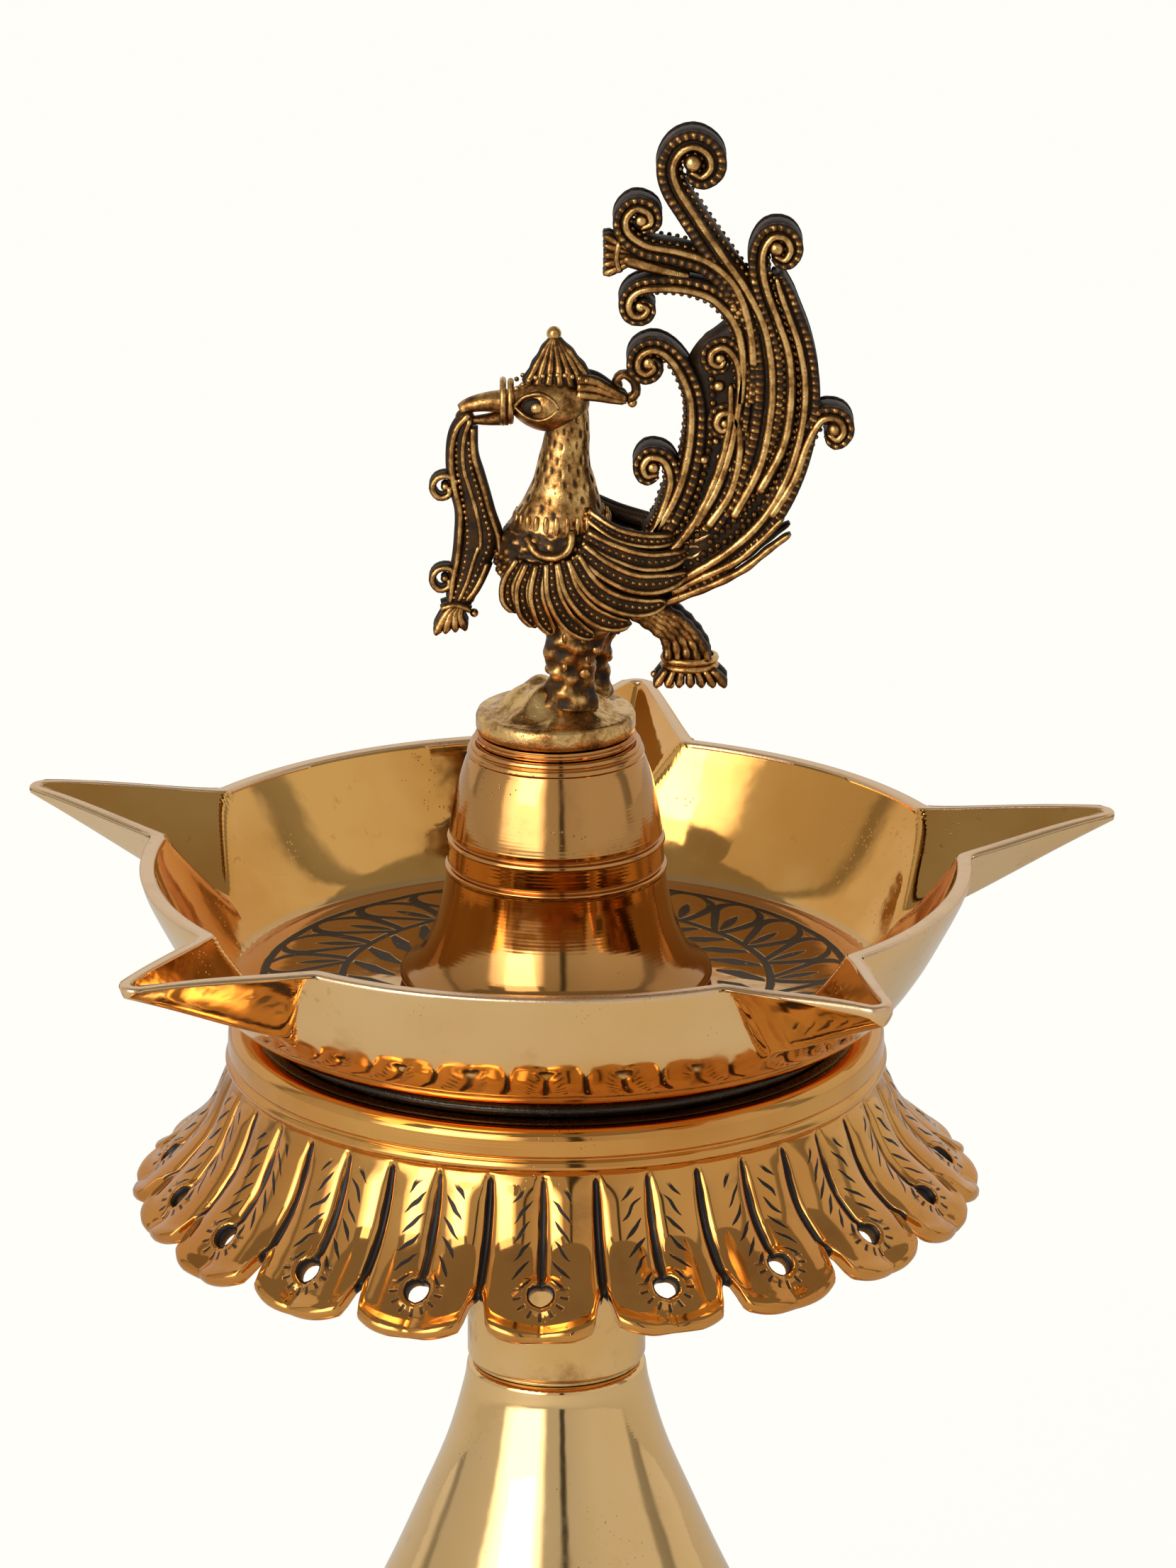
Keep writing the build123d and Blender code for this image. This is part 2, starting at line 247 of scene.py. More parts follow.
def makePiece(name, shells, material, body, nodes, markNames=("worn",), offset=(0, 0, 0)):
    # one Blender object from several sheets, in metres; loose points are dropped and faces turned outwards
    verts, quads, tris, marks, count = [], [], [], [], 0
    for part in shells:
        verts.append(part[0] + np.array(offset, float))
        quads.append(part[1] + count)
        tris.append(part[2] + count)
        marks.append(part[3])
        count += len(part[0])
    verts, quads, tris, marks = np.vstack(verts) * mm, np.vstack(quads), np.vstack(tris), np.vstack(marks)
    corners = np.concatenate([quads.ravel(), tris.ravel()])
    used, corners = np.unique(corners, return_inverse=True)
    verts, marks = verts[used], marks[used]
    mesh = bpy.data.meshes.new(name)
    mesh.vertices.add(len(verts))
    mesh.vertices.foreach_set("co", verts.astype(np.float32).ravel())
    mesh.loops.add(len(corners))
    mesh.loops.foreach_set("vertex_index", corners.astype(np.int32).ravel())
    starts = np.concatenate([np.arange(len(quads)) * 4, len(quads) * 4 + np.arange(len(tris)) * 3])
    mesh.polygons.add(len(starts))
    mesh.polygons.foreach_set("loop_start", starts.astype(np.int32))
    mesh.update(calc_edges=True)
    mesh.polygons.foreach_set("use_smooth", np.ones(len(starts), bool))
    for column, markName in enumerate(markNames):
        mark = mesh.attributes.new(markName, "FLOAT", "POINT")
        mark.data.foreach_set("value", marks[:, column].astype(np.float32))
    mesh.validate()
    faceOutwards(mesh)
    mesh.materials.append(material)
    piece = bpy.data.objects.new(name, mesh)
    bpy.context.scene.collection.objects.link(piece)
    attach(piece, body)
    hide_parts(*nodes)
    print("made", name, len(quads) * 2 + len(tris), "triangles")


def faceOutwards(mesh):
    # recalculated normals, so that a closed sheet faces away from its inside
    work = bmesh.new()
    work.from_mesh(mesh)
    bmesh.ops.recalc_face_normals(work, faces=work.faces)
    work.to_mesh(mesh)
    work.free()


# finishes
brass = {
    "clean": (0.92, 0.62, 0.285), "warm": (0.84, 0.48, 0.15), "honey": (0.80, 0.42, 0.115),
    # deep serves only as painted shade, low on the column's foot
    "amber": (0.66, 0.27, 0.060), "brown": (0.58, 0.285, 0.095), "deep": (0.46, 0.21, 0.06),
    "stain": (0.45, 0.21, 0.065), "pit": (0.07, 0.035, 0.015), "roughness": 0.055,
}


def brassSurface(f, place, patches=0.35, stains=0.35, pitting=0.5, brush=0.1, bands=(), tones=("clean", "warm"),
                 deep=None, satin=0.0, stainFrom=0.57):
    # tone, roughness and bump height of polished cast brass: broad warm patches, thin stains, small pits in
    # clusters, hand polishing marks, turned lines inside the given level bands, and a deep tone that fades in
    # from the second level down to the first, a painted shade for darker reflections low on the part
    broad = f.noise(place, 24.0, 3.0)
    cloud = f.noise(place, 110.0, 5.0, 0.62)
    pits = f.pits(place, 1150.0, 0.22, f.step(f.noise(place, 70.0, 2.0), 0.56, 0.68)) * pitting
    level = f.axes(place)[2]
    tone = f.mix(f.step(broad, 0.35, 0.7) * patches, brass[tones[0]], brass[tones[1]])
    # painted shade: the deep tone darkens the part towards its foot
    if deep:
        tone = f.mix(f.step(level, deep[1] * mm, deep[0] * mm), tone, brass["deep"])
    tone = f.mix(f.step(cloud, stainFrom, stainFrom + 0.25) * stains, tone, brass["stain"])
    tone = f.mix(pits, tone, brass["pit"])
    fine = f.math("SINE", level * 11000.0) + f.math("SINE", level * 4700.0 + broad * 5.0)
    lined = brush
    for low, high in bands:
        above = f.step(level, (low - 0.2) * mm, low * mm)
        lined = above * (1 - f.step(level, high * mm, (high + 0.2) * mm)) + lined
    soft = f.noise(place, 130.0, 2.0)
    height = fine * lined * 0.05 + soft * 0.9 - pits * 0.5
    roughness = f.step(cloud, 0.45, 0.85) * 0.16 + pits * 0.35 + brass["roughness"] + satin
    return tone, roughness, height


def polishedBrass(name, **options):
    f = Finish(name)
    tone, roughness, height = brassSurface(f, f.place(), **options)
    return f.finish({"Base Color": tone, "Metallic": 1.0, "Roughness": roughness,
                     "Normal": f.bump(height, 0.00006)})


def blackRubber():
    # glossy black with fine dust
    f = Finish("blackRubber")
    place = f.place()
    dust = f.noise(place, 420.0, 4.0, 0.7)
    tone = f.mix(f.step(dust, 0.6, 0.85), (0.006, 0.0055, 0.005), (0.05, 0.042, 0.034))
    return f.finish({"Base Color": tone, "Roughness": f.step(dust, 0.4, 0.8) * 0.3 + 0.1,
                     "Normal": f.bump(dust, 0.0002)})


def machinedBrass():
    # plain turned brass, dark where the worn mark is high, as in the roots of a thread
    f = Finish("machinedBrass")
    place = f.place()
    grime = f.noise(place, 240.0, 4.0, 0.6)
    tone = f.mix(f.step(grime, 0.35, 0.75), (0.80, 0.58, 0.27), (0.42, 0.25, 0.09))
    tone = f.mix(f.mark("worn") * 0.75, tone, (0.10, 0.06, 0.03))
    return f.finish({"Base Color": tone, "Metallic": 1.0, "Roughness": grime * 0.2 + 0.28,
                     "Normal": f.bump(grime, 0.00005)})


def antiqueBrass():
    # patinated casting: black in the recesses, brown on the flanks, rubbed to gold where the worn mark is high
    f = Finish("antiqueBrass")
    place = f.place()
    patchy = f.noise(place, 330.0, 4.0, 0.65)
    grain = f.noise(place, 1400.0, 3.0, 0.6)
    shine = f.step(f.mark("worn") + (patchy - 0.5) * 1.1 + (grain - 0.5) * 0.5, 0.2, 1.08)
    tone = f.node("ShaderNodeValToRGB", {"stops": [
        (0.0, (0.02, 0.010, 0.004)), (0.3, (0.08, 0.036, 0.011)), (0.6, (0.28, 0.13, 0.036)),
        (0.85, (0.58, 0.32, 0.105)), (1.0, (0.86, 0.55, 0.21))]}, {0: shine})
    pits = f.pits(place, 1500.0, 0.25, f.step(patchy, 0.5, 0.62))
    tone = f.mix(pits * 0.7, tone, (0.02, 0.011, 0.006))
    height = patchy * 0.8 + grain * 0.45 - pits * 0.6
    return f.finish({"Base Color": tone, "Metallic": f.step(shine, 0.05, 0.4), "Roughness": 0.5 - shine * 0.24,
                     "Specular IOR Level": 0.2, "Normal": f.bump(height, 0.00012)})


# base
# outlines are (radius, level over the seam), and a third value rounds a corner
base = {
    "around": 256,
    "seam": [(5.0, 0), (13.7, 0, 0.4), (14.3, -0.6)],
    "cone": [(14.3, -0.6), (15.1, -5.0), (17.8, -14.3), (22.2, -24.9), (26.8, -35.5), (32.6, -47.6),
             (34.8, -51.0)],
    "bead": [(34.8, -51.0), (37.6, -50.6), (39.2, -51.8), (38.9, -53.2), (37.2, -53.9)],
    "waist": [(37.2, -53.9), (37.0, -55.6, 1.2), (40.4, -57.4)],
    "bell": [(40.4, -57.4), (47.0, -59.6), (54.4, -66.2), (59.6, -76.0), (62.3, -86.0), (63.4, -95.0)],
    "ring": [(63.4, -95.0), (65.8, -95.6), (66.6, -97.6), (65.8, -99.6), (63.8, -100.4)],
    "scotia": [(63.8, -100.4), (64.2, -106.0), (66.9, -112.0), (72.0, -116.0)],
    "edge": [(72.0, -116.0), (74.0, -116.4, 0.8), (73.9, -121.4, 0.6), (73.3, -127.0, 0.8), (72.4, -128.0, 0.6),
             (67.0, -128.0, 0.8), (67.0, -123.0, 0.6), (62.0, -114.0)],
    "inside": [(62.0, -114.0), (59.4, -94.0), (55.8, -78.0), (48.0, -67.0), (38.0, -61.5), (30.0, -46.0)],
    "throat": [(30.0, -46.0), (13.0, -24.0, 1.0), (11.0, -18.0, 0.8), (5.0, -18.0)],
}


def baseOutline():
    # seam, concave cone, bead, ogee bell, ring, scotia and foot, then back up the inside to the bore
    return np.vstack([
        turning(base["seam"], 1.5), curve(base["cone"], 64)[1:], curve(base["bead"], 22)[1:],
        turning(base["waist"], 0.6)[1:], curve(base["bell"], 60)[1:],
        curve(base["ring"], 20)[1:], curve(base["scotia"], 30)[1:], turning(base["edge"])[1:],
        curve(base["inside"], 50)[1:], turning(base["throat"], 2.0)[1:]]) + [0, baseTop]


baseBrass = polishedBrass("baseBrass", stains=0.2,
                          bands=[(baseTop - 52, baseTop - 46), (baseTop - 101, baseTop - 94)])
makePiece("turnedBase", [lathe(baseOutline(), base["around"])], baseBrass, "base",
          ["foot_ring", "foot_bell", "base_cone"])

# neck
neck = {
    "barrel": [(5.2, 0.8), (13.9, 0.8, 0.4), (14.25, 1.4, 0.3), (14.25, 18.4)],
    "bead": [(14.25, 18.4), (16.4, 18.8), (17.4, 21.0), (16.4, 23.2), (14.7, 23.8)],
    "flare": [(14.7, 23.8), (14.9, 29.0), (16.2, 34.0), (22.5, 46.0), (33.0, 54.4)],
    "top": [(33.0, 54.4), (5.2, 54.4)],
}
neckOutline = np.vstack([turning(neck["barrel"]), curve(neck["bead"], 20)[1:], curve(neck["flare"], 40)[1:],
                         turning(neck["top"], 4.0)[1:]]) + [0, baseTop]
neckBrass = polishedBrass("neckBrass", stains=0.9, stainFrom=0.48, pitting=0.9, patches=0.8, satin=0.03)
makePiece("neckBarrel", [lathe(neckOutline, 160)], neckBrass, "neck", ["neck_collar"])

# petal skirt
skirt = {
    "petals": 20, "start": -2.0, "samples": 36, "rows": 46, "wall": 1.7,
    # flat top, rounded shoulder, plain band, bead and a thin groove, then the web inside
    "band": [(5.3, 0), (49.6, 0), (50.9, -0.3, 0.7), (51.9, -1.4, 0.8), (52.0, -4.4, 0.3), (51.6, -4.9, 0.3),
             (52.1, -5.3, 0.3), (52.5, -6.1, 0.5), (52.1, -6.9, 0.3), (51.2, -7.2, 0.2), (51.3, -8.2),
             (50.2, -8.6, 0.5), (49.8, -5.0, 1.0), (48.6, -3.6, 0.8), (5.3, -3.6)],
    "line": [(51.3, -7.2), (51.9, -9.4), (53.0, -13.0), (55.2, -17.6), (58.0, -21.2), (61.0, -24.2),
             (64.2, -27.2), (66.0, -29.2)],
    "grooveWidth": 0.6, "grooveDepth": 0.8, "sideDepth": 0.85, "pleat": 0.95,
    "holeDown": 20.4, "holeRadius": 1.9, "notchDepth": 3.8,
    "bent": 2.3, "bentAt": 0.8,  # rise of the petal tips at one bearing, in millimetres and radians
}


def petalSheet():
    # each petal is a strip of the flare: its outside is the flare's line moved along its normal by two soft
    # pleats, a groove down the middle that ends at the pierced hole, and a groove at each side that ends in a
    # notch. Tips near one bearing are bent up. The inside is the same surface a wall's thickness further in,
    # and a half circle joins their tips.
    petals, samples, rows = skirt["petals"], skirt["samples"], skirt["rows"]
    rng = np.random.default_rng(11)
    line = evenly(curve(skirt["line"], 200), 200)
    run = np.append(0, np.cumsum(np.linalg.norm(np.diff(line, axis=0), axis=1)))
    slope = np.gradient(line, run, axis=0)
    part = np.linspace(-1, 1, samples, endpoint=False)
    across = np.sign(part) * (1 - np.abs(1 - np.abs(part)) ** 1.25) * 0.55 + part * 0.45
    across = np.tile(across, petals)[:, None]
    number = np.repeat(np.arange(petals), samples)
    hand = rng.uniform(-1, 1, (petals, 4))[number][:, :, None]
    tip = run[-1] - 3.4 * np.abs(across) ** 2.6 - 0.5 * across * hand[:, 0] - 0.3 * hand[:, 3]
    gap = smoothStep(np.abs(across + 0.03 * hand[:, 1]), 0.79, 0.92)
    end = tip - skirt["notchDepth"] * gap
    down = end * np.linspace(0, 1, rows)[None, :] ** 0.92
    pitch = tau / petals / 2

    def lookup(values, at):
        return np.interp(at, run, values)

    side = across * pitch * lookup(line[:, 0], down)
    fromHole = np.hypot(side, down - skirt["holeDown"])
    quadHole = fromHole[:-1, :-1] + fromHole[1:, :-1] + fromHole[1:, 1:] + fromHole[:-1, 1:]
    removed = np.zeros((petals * samples, rows - 1), bool)
    removed[:-1] = quadHole / 4 < skirt["holeRadius"] * 0.98
    onEdge = np.zeros_like(fromHole, int)
    for du in (0, 1):
        for dv in (0, 1):
            onEdge[:, dv:rows - 1 + dv] += np.roll(removed, du, axis=0)
    edge = (onEdge > 0) & (onEdge < 4)
    pull = np.where(edge, skirt["holeRadius"] / np.maximum(fromHole, 0.01), 1.0)
    side = side * pull
    down = np.where(edge, skirt["holeDown"] + (down - skirt["holeDown"]) * pull, down)
    fromHole = np.hypot(side, down - skirt["holeDown"])
    radius, level = lookup(line[:, 0], down), lookup(line[:, 1], down)
    half = pitch * radius
    width = skirt["grooveWidth"] * (0.7 + 0.3 * smoothStep(down, 1.0, 9.0))
    middle = np.exp(-(side / width) ** 2) * smoothStep(down, 0.3, 1.4) * (1 - smoothStep(down, 18.6, 19.6))
    edgeAway = half - np.abs(side)
    beside = np.exp(-(edgeAway / (width * 1.05)) ** 2) * smoothStep(down, 0.4, 1.8)
    folds = np.sin(np.pi * np.clip(np.abs(side) / half, 0, 1)) ** 0.8
    folds = folds * skirt["pleat"] * smoothStep(down, 0.3, 5.0)
    cup = 0.35 * np.exp(-((fromHole - 2.6) / 0.6) ** 2) * (fromHole > 1.0)
    lift = 0.7 * smoothStep(down, end - 2.4, end)
    wave = 0.25 * hand[:, 2] * smoothStep(down, 8.0, 24.0)
    height = folds + cup + lift + wave - skirt["grooveDepth"] * middle - skirt["sideDepth"] * beside
    slopeR, slopeZ = lookup(slope[:, 0], down), lookup(slope[:, 1], down)
    bearing = np.radians(skirt["start"]) + 2 * number[:, None] * pitch + side / radius
    bent = np.maximum(np.cos(bearing - skirt["bentAt"]), 0) ** 2 * skirt["bent"] * smoothStep(down, 6.0, 24.0)

    def spot(off, on=0.0, cut=slice(None)):
        # the point that stands off the flare's line by off along its normal and on by on along the line
        r = radius[:, cut] - slopeZ[:, cut] * off + slopeR[:, cut] * on
        z = (level + bent)[:, cut] + slopeR[:, cut] * off + slopeZ[:, cut] * on + skirtTop
        return np.stack([r * np.sin(bearing[:, cut]), -r * np.cos(bearing[:, cut]), z], -1)

    dark = np.clip(np.maximum(middle, beside) * 1.4, 0, 1)
    dark = np.maximum(dark, 0.9 * (fromHole < skirt["holeRadius"] + 0.05))
    marks = np.stack([dark, side, down], -1)
    innerHeight = 0.3 * height - skirt["wall"]
    outside, inside = spot(height), spot(innerHeight)
    halfWall = (height - innerHeight)[:, -1:] / 2
    centre = height[:, -1:] - halfWall
    lips = [spot(centre + halfWall * np.cos(angle), halfWall * np.sin(angle) * 0.9, slice(-1, None))
            for angle in np.radians([25, 60, 90, 120, 155])]
    points = np.concatenate([outside] + lips + [inside[:, ::-1]], axis=1)
    lipMarks = np.repeat(marks[:, -1:], len(lips), axis=1)
    allMarks = np.concatenate([marks, lipMarks, marks[:, ::-1] * [0.6, 1, 1]], axis=1)
    nu, nv = points.shape[:2]
    faces = gridFaces(nu, nv, True)
    keep = np.ones(faces.shape[:2], bool)
    keep[:, :rows - 1] &= ~removed
    keep[:, nv - rows:nv - 1] &= ~removed[:, ::-1]
    index = np.arange(nu * nv).reshape(nu, nv)
    # walls of the pierced holes: one face from the outside to the inside at each side of a removed face that
    # has a kept neighbour
    mirror = nv - 1 - np.arange(rows)
    walls = []
    for du, dv in ((1, 0), (-1, 0), (0, 1), (0, -1)):
        beyond = np.roll(removed, -du, axis=0) if du else np.zeros_like(removed)
        if dv:
            beyond[:, max(0, -dv):rows - 1 - max(0, dv)] = removed[:, max(0, dv):rows - 1 + min(0, dv)]
        i, j = np.nonzero(removed & ~beyond)
        i, j = i + (du == 1), j + (dv == 1)
        a = (i % nu, j)
        b = ((i + (dv != 0)) % nu, j + (du != 0))
        walls.append(np.stack([index[a], index[b], index[b[0], mirror[b[1]]], index[a[0], mirror[a[1]]]], -1))
    quads = np.vstack([faces[keep]] + walls)
    return points.reshape(-1, 3), quads, np.zeros((0, 3), int), allMarks.reshape(-1, 3)


chasing = {"strokeGap": 3.3, "strokeSlant": 1.3, "strokeAt": 3.1, "strokeHalf": 1.5, "from": 2.2, "to": 21.0,
           "tickFrom": 2.9, "tickTo": 4.5, "ticks": 2.2}


def petalBrass():
    # polished brass whose grooves are blackened, with chisel strokes that slant down and away from the middle
    # groove, and short radial ticks round the outer half of each hole. The marks across and down are
    # millimetres on the petal, from its middle and from the band. The tone turns a darker amber down the
    # petal, a painted shade for the dim reflections on the petals' lower half. Its dark honey and amber tones
    # and heavy stains are partly patina and partly painted shade for light bounced between the petals.
    f = Finish("petalBrass")
    place = f.place()
    # partly painted shade: the dark honey and amber tones and heavy stains stand in for light bounced between
    # the petals as well as for patina
    tone, roughness, height = brassSurface(f, place, patches=1.0, stains=0.8, pitting=0.9, brush=0.02,
                                           stainFrom=0.5, tones=("honey", "amber"))
    dark, across, down = f.mark("dark"), f.mark("across"), f.mark("down")
    c = chasing
    # painted shade: darker amber towards the petal tips, where the flare mirrors the dim ceiling
    tone = f.mix(f.step(down, 5.0, 17.0) * 0.5, tone, brass["amber"])
    away = f.absolute(across)
    jitter = f.noise(place, 260.0, 1.0)
    slant = (down - away * c["strokeSlant"] + jitter * 2.6) / c["strokeGap"]
    beat = f.math("PINGPONG", slant, 0.5)
    along = (away - c["strokeAt"] - (jitter - 0.5) * 1.8) / c["strokeHalf"]
    taper = 1 - along * along
    inRange = f.step(down, c["from"], c["from"] + 0.8) * (1 - f.step(down, c["to"] - 2, c["to"]))
    stroke = 1 - f.step(beat - f.highest(taper, 0.0) * 0.16, -0.03, 0.01)
    stroke = stroke * f.step(taper, 0.02, 0.1) * inRange
    below = down - skirt["holeDown"]
    ringAway = f.math("SQRT", across * across + below * below)
    spoke = f.math("PINGPONG", f.math("ARCTAN2", across, below) * c["ticks"] + 0.02, 0.5)
    tick = (1 - f.step(spoke, 0.1, 0.18)) * f.step(ringAway, c["tickFrom"], c["tickFrom"] + 0.2)
    tick = tick * (1 - f.step(ringAway, c["tickTo"] - 0.3, c["tickTo"])) * f.step(below, -1.4, -0.6)
    cut = f.highest(stroke, tick * 0.95, f.step(dark + (jitter - 0.5) * 0.5, 0.42, 0.75))
    tone = f.mix(cut, tone, (0.016, 0.011, 0.009))
    return f.finish({"Base Color": tone, "Metallic": 1 - cut * 0.6, "Roughness": roughness + cut * 0.4,
                     "Normal": f.bump(height - cut * 2.0, 0.00007)})


bandBrass = polishedBrass("bandBrass", stains=0.6, pitting=0.8, patches=0.9, tones=("honey", "amber"),
                          bands=[(skirtTop - 9, skirtTop)])
makePiece("skirtBand", [lathe(turning(skirt["band"], 1.5) + [0, skirtTop], 224)], bandBrass, "neck",
          ["petal_skirt"])
makePiece("petalSheet", [petalSheet()], petalBrass(), "neck", ["petal_skirt"],
          ("dark", "across", "down"))

# seal ring and washers
sealOutline = turning([(43.5, sealLow), (46.6, sealLow, 0.2), (47.5, sealLow + 0.9, 0.6),
                       (47.5, sealHigh - 0.9, 0.6), (46.6, sealHigh, 0.4), (43.5, sealHigh, 0.3)], 0.4)
makePiece("sealRing", [lathe(sealOutline, 192)], blackRubber(), "dish_seat", ["seal_ring"])


def washerOutline(node, inner=5.4):
    # a flat ring with rounded edges, between the CAD washer's levels and out to its radius
    low, high = spanOf(node)
    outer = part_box(node)[1].x / mm
    edge = (high - low) * 0.45
    return turning([(inner, low), (outer, low, edge), (outer, high, edge), (inner, high)], 1.5)


plainBrass = machinedBrass()
for node, name, body in (("neck_washer", "neckWasher", "neck_seat"),
                         ("column_washer", "columnWasher", "column_seat")):
    makePiece(name, [lathe(washerOutline(node), 128)], plainBrass, body, [node])

# stepped ring under the swan
ringLow, ringHigh = spanOf("finial_washer")
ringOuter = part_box("finial_washer")[1].x / mm
third = (ringHigh - ringLow) / 3
ringSteps = [(ringOuter - inset, ringLow + up * third, 0.1)
             for inset, up in ((0.5, 0), (0.5, 1), (0.1, 1), (0.1, 2), (0.6, 2), (0.6, 3))]
ringOutline = turning([(3.6, ringLow), *ringSteps, (3.6, ringHigh)], 1.0)
ringBrass = polishedBrass("ringBrass", stains=0.9, patches=1.0, tones=("brown", "amber"))
makePiece("finialRing", [lathe(ringOutline, 160)], ringBrass, "finial_seat", ["finial_washer"])

# dish
dish = {
    "rim": 65.5, "wall": 2.4,
    "line": [(47.5, 0.0), (51.4, 1.0), (55.2, 4.2), (58.9, 9.4), (62.2, 15.4), (64.6, 20.2), (65.4, 22.6),
             (65.5, rimUp)],
    # spouts: bearings in degrees, how much shorter each one is, distances of root and nose from the axis, half
    # widths at root and nose with the depths there, and how far the nose stands over the rim
    "bearings": [-112.0, -45.0, 34.0, 103.0, 171.5], "shorter": [0.0, 0.0, 3.2, 0.0, 0.0],
    "root": 50.0, "nose": 88.0, "outer": (18.5, 3.3, 19.0, 4.2), "rise": 1.6,
    "floor": [(5.0, 2.0), (5.0, 3.7), (12.0, 3.7), (20.0, 3.7), (27.0, 3.7), (33.0, 3.7), (38.0, 3.7),
              (41.5, 3.7)],
    "under": [(46.5, 0), (44.0, 0), (36.0, 0), (26.0, 0), (15.0, 0), (5.0, 0), (5.0, 1.0)],
}


def spoutReach(angle, width, noseWidth, rootX):
    # distance from the axis to the spout's edge, along a ray that leaves the spout's middle line by an angle:
    # the straight edge from the root's half width to the nose's, then a circle round the nose
    slope = (width - noseWidth) / (dish["nose"] - rootX)
    tangent = np.abs(np.tan(angle))
    x = (width + slope * rootX) / (tangent + slope)
    straight = x / np.cos(angle)
    nose = dish["nose"]
    inside = np.maximum(noseWidth ** 2 * 1.02 - (nose * np.sin(angle)) ** 2, 0)
    tip = nose * np.cos(angle) + np.sqrt(inside)
    rounded = np.where(inside > 0, np.minimum(straight, tip), straight)
    return np.where(np.abs(angle) < 0.5, rounded, 0)


def softMax(a, b, k):
    # the larger of two values, rounded over a width k where they meet
    return np.maximum(a, b) + k * np.log1p(np.exp(-np.abs(a - b) / k))


def softMin(a, b, k):
    return -softMax(-a, -b, k)


def dishAngles():
    # bearings round the dish, close together at the spouts and on each spout's middle line
    place = np.radians(np.sort(np.mod(dish["bearings"], 360)))
    close = np.radians(14)
    pieces = []
    for k, start in enumerate(place):
        stop = place[(k + 1) % len(place)] + (tau if k == len(place) - 1 else 0)
        pieces += [start + close * np.linspace(0, 1, 34, endpoint=False) ** 1.25,
                   np.linspace(start + close, stop - close, 84, endpoint=False),
                   stop - close * np.linspace(1, 0, 34, endpoint=False) ** 1.25]
    return np.concatenate(pieces)


def dishSheet():
    # on each ray: floor, inner wall, rim and outer wall. Each wall is the lower of the bowl's line and the
    # spout's V, whose depth falls from root to nose, and the ray is stretched to reach the spout's edge.
    angle = dishAngles()
    offsets = np.abs((angle[:, None] - np.radians(dish["bearings"])[None] + np.pi) % tau - np.pi)
    near = np.min(offsets, axis=1)
    shorter = np.array(dish["shorter"])[np.argmin(offsets, axis=1)] * smoothStep(near, 0.16, 0.0)
    wide, narrow, deep, shallow = dish["outer"]
    wall = dish["wall"]
    outLine = evenly(curve(dish["line"], 160), 46)
    normal = np.gradient(outLine, axis=0)
    normal = np.stack([-normal[:, 1], normal[:, 0]], -1) / np.linalg.norm(normal, axis=1)[:, None]
    inLine = outLine + normal * wall
    inLine[:, 1] = np.clip(inLine[:, 1], floorUp, rimUp)
    inLine = inLine[inLine[:, 0] > 42.5]
    inLine[:, 0] = np.minimum(inLine[:, 0], dish["rim"] - wall)

    def surface(line, shrink, spoutFrom):
        # radius and height of one wall's points; shrink is 0 outside and the wall's thickness inside
        limit = line[-1, 0]
        reach = spoutReach(near, wide - shrink, narrow - shrink * 0.75, dish["root"])
        reach = np.maximum(softMax(reach, limit, 0.5) - shorter, limit)
        blend = smoothStep(line[:, 0], line[0, 0], limit)
        r = line[None, :, 0] * (1 + (reach[:, None] / limit - 1) * blend[None])
        x, y = r * np.cos(near)[:, None], r * np.abs(np.sin(near))[:, None]
        along = (x - dish["root"]) / (dish["nose"] - dish["root"])
        half = (wide - shrink) + (narrow - wide + shrink * 0.25) * along
        depth = (deep - shrink) + (shallow - deep + shrink * 0.25) * along
        rise = dish["rise"] * smoothStep(x, 60.0, 90.0)
        trough = rimUp + rise - depth * np.clip(1 - np.hypot(y, 0.8) / np.maximum(half, 1.2), 0, 1)
        isTrough = (x > spoutFrom) & (near[:, None] < 0.5)
        isBowl = r <= limit + 0.01
        bowl = np.interp(r, line[:, 0], line[:, 1])
        z = np.where(isTrough & isBowl, softMin(bowl, trough, 0.8), np.where(isTrough, trough, bowl))
        z[:, -1] = rimUp + rise[:, -1] * (near < 0.5)
        return r, z

    innerR, innerZ = surface(inLine, wall, 45.5)
    outerR, outerZ = surface(outLine, 0.0, 50.0)
    top = np.maximum(innerZ[:, -1], outerZ[:, -1])
    innerZ[:, -1] = outerZ[:, -1] = top - 0.55
    rimR, rimZ = [], []
    for share, lift in ((0.04, -0.2), (0.14, -0.03), (0.35, 0.0), (0.65, 0.0), (0.86, -0.03), (0.96, -0.2)):
        rimR.append(innerR[:, -1] + (outerR[:, -1] - innerR[:, -1]) * share)
        rimZ.append(top + lift)
    floorR, floorZ = np.array(dish["floor"]).T
    underR, underZ = np.array(dish["under"]).T
    n = len(angle)

    def joined(floor, inner, rim, outer, under):
        floor, under = np.tile(floor, (n, 1)), np.tile(under, (n, 1))
        return np.hstack([floor, inner, np.stack(rim, -1), outer[:, ::-1], under])

    r, z = joined(floorR, innerR, rimR, outerR, underR), joined(floorZ, innerZ, rimZ, outerZ, underZ)
    points = np.stack([r * np.sin(angle)[:, None], -r * np.cos(angle)[:, None], z + dishLow], -1)
    # marks: worn on the rim, and painted reflection inside the bowl and low on the outer wall, where a deeper
    # orange tone stands in for light bounced off the bowl and the petals
    rimAt = len(floorR) + innerR.shape[1]
    outerAt = rimAt + len(rimR)
    marks = np.zeros((n, points.shape[1], 2))
    marks[:, rimAt - 1:outerAt + 1, 0] = 1.0
    marks[:, :rimAt, 1] = 1.0
    marks[:, outerAt:, 1] = 0.9 * smoothStep(points[:, outerAt:, 2] - dishLow, 13.0, 4.0)
    return shell(points, True, marks)


# the wreath's leaves and the ring lines inside and outside it, distances from the axis in millimetres; headAt
# is the share of a leaf's length where its round head starts
engraving = {"leaves": 26, "inner": 34.0, "outer": 46.2, "lean": 0.55, "headAt": 0.62,
             "hatches": 30, "hatchAt": 29.3, "hatchHalf": 3.9, "black": (0.014, 0.011, 0.009)}


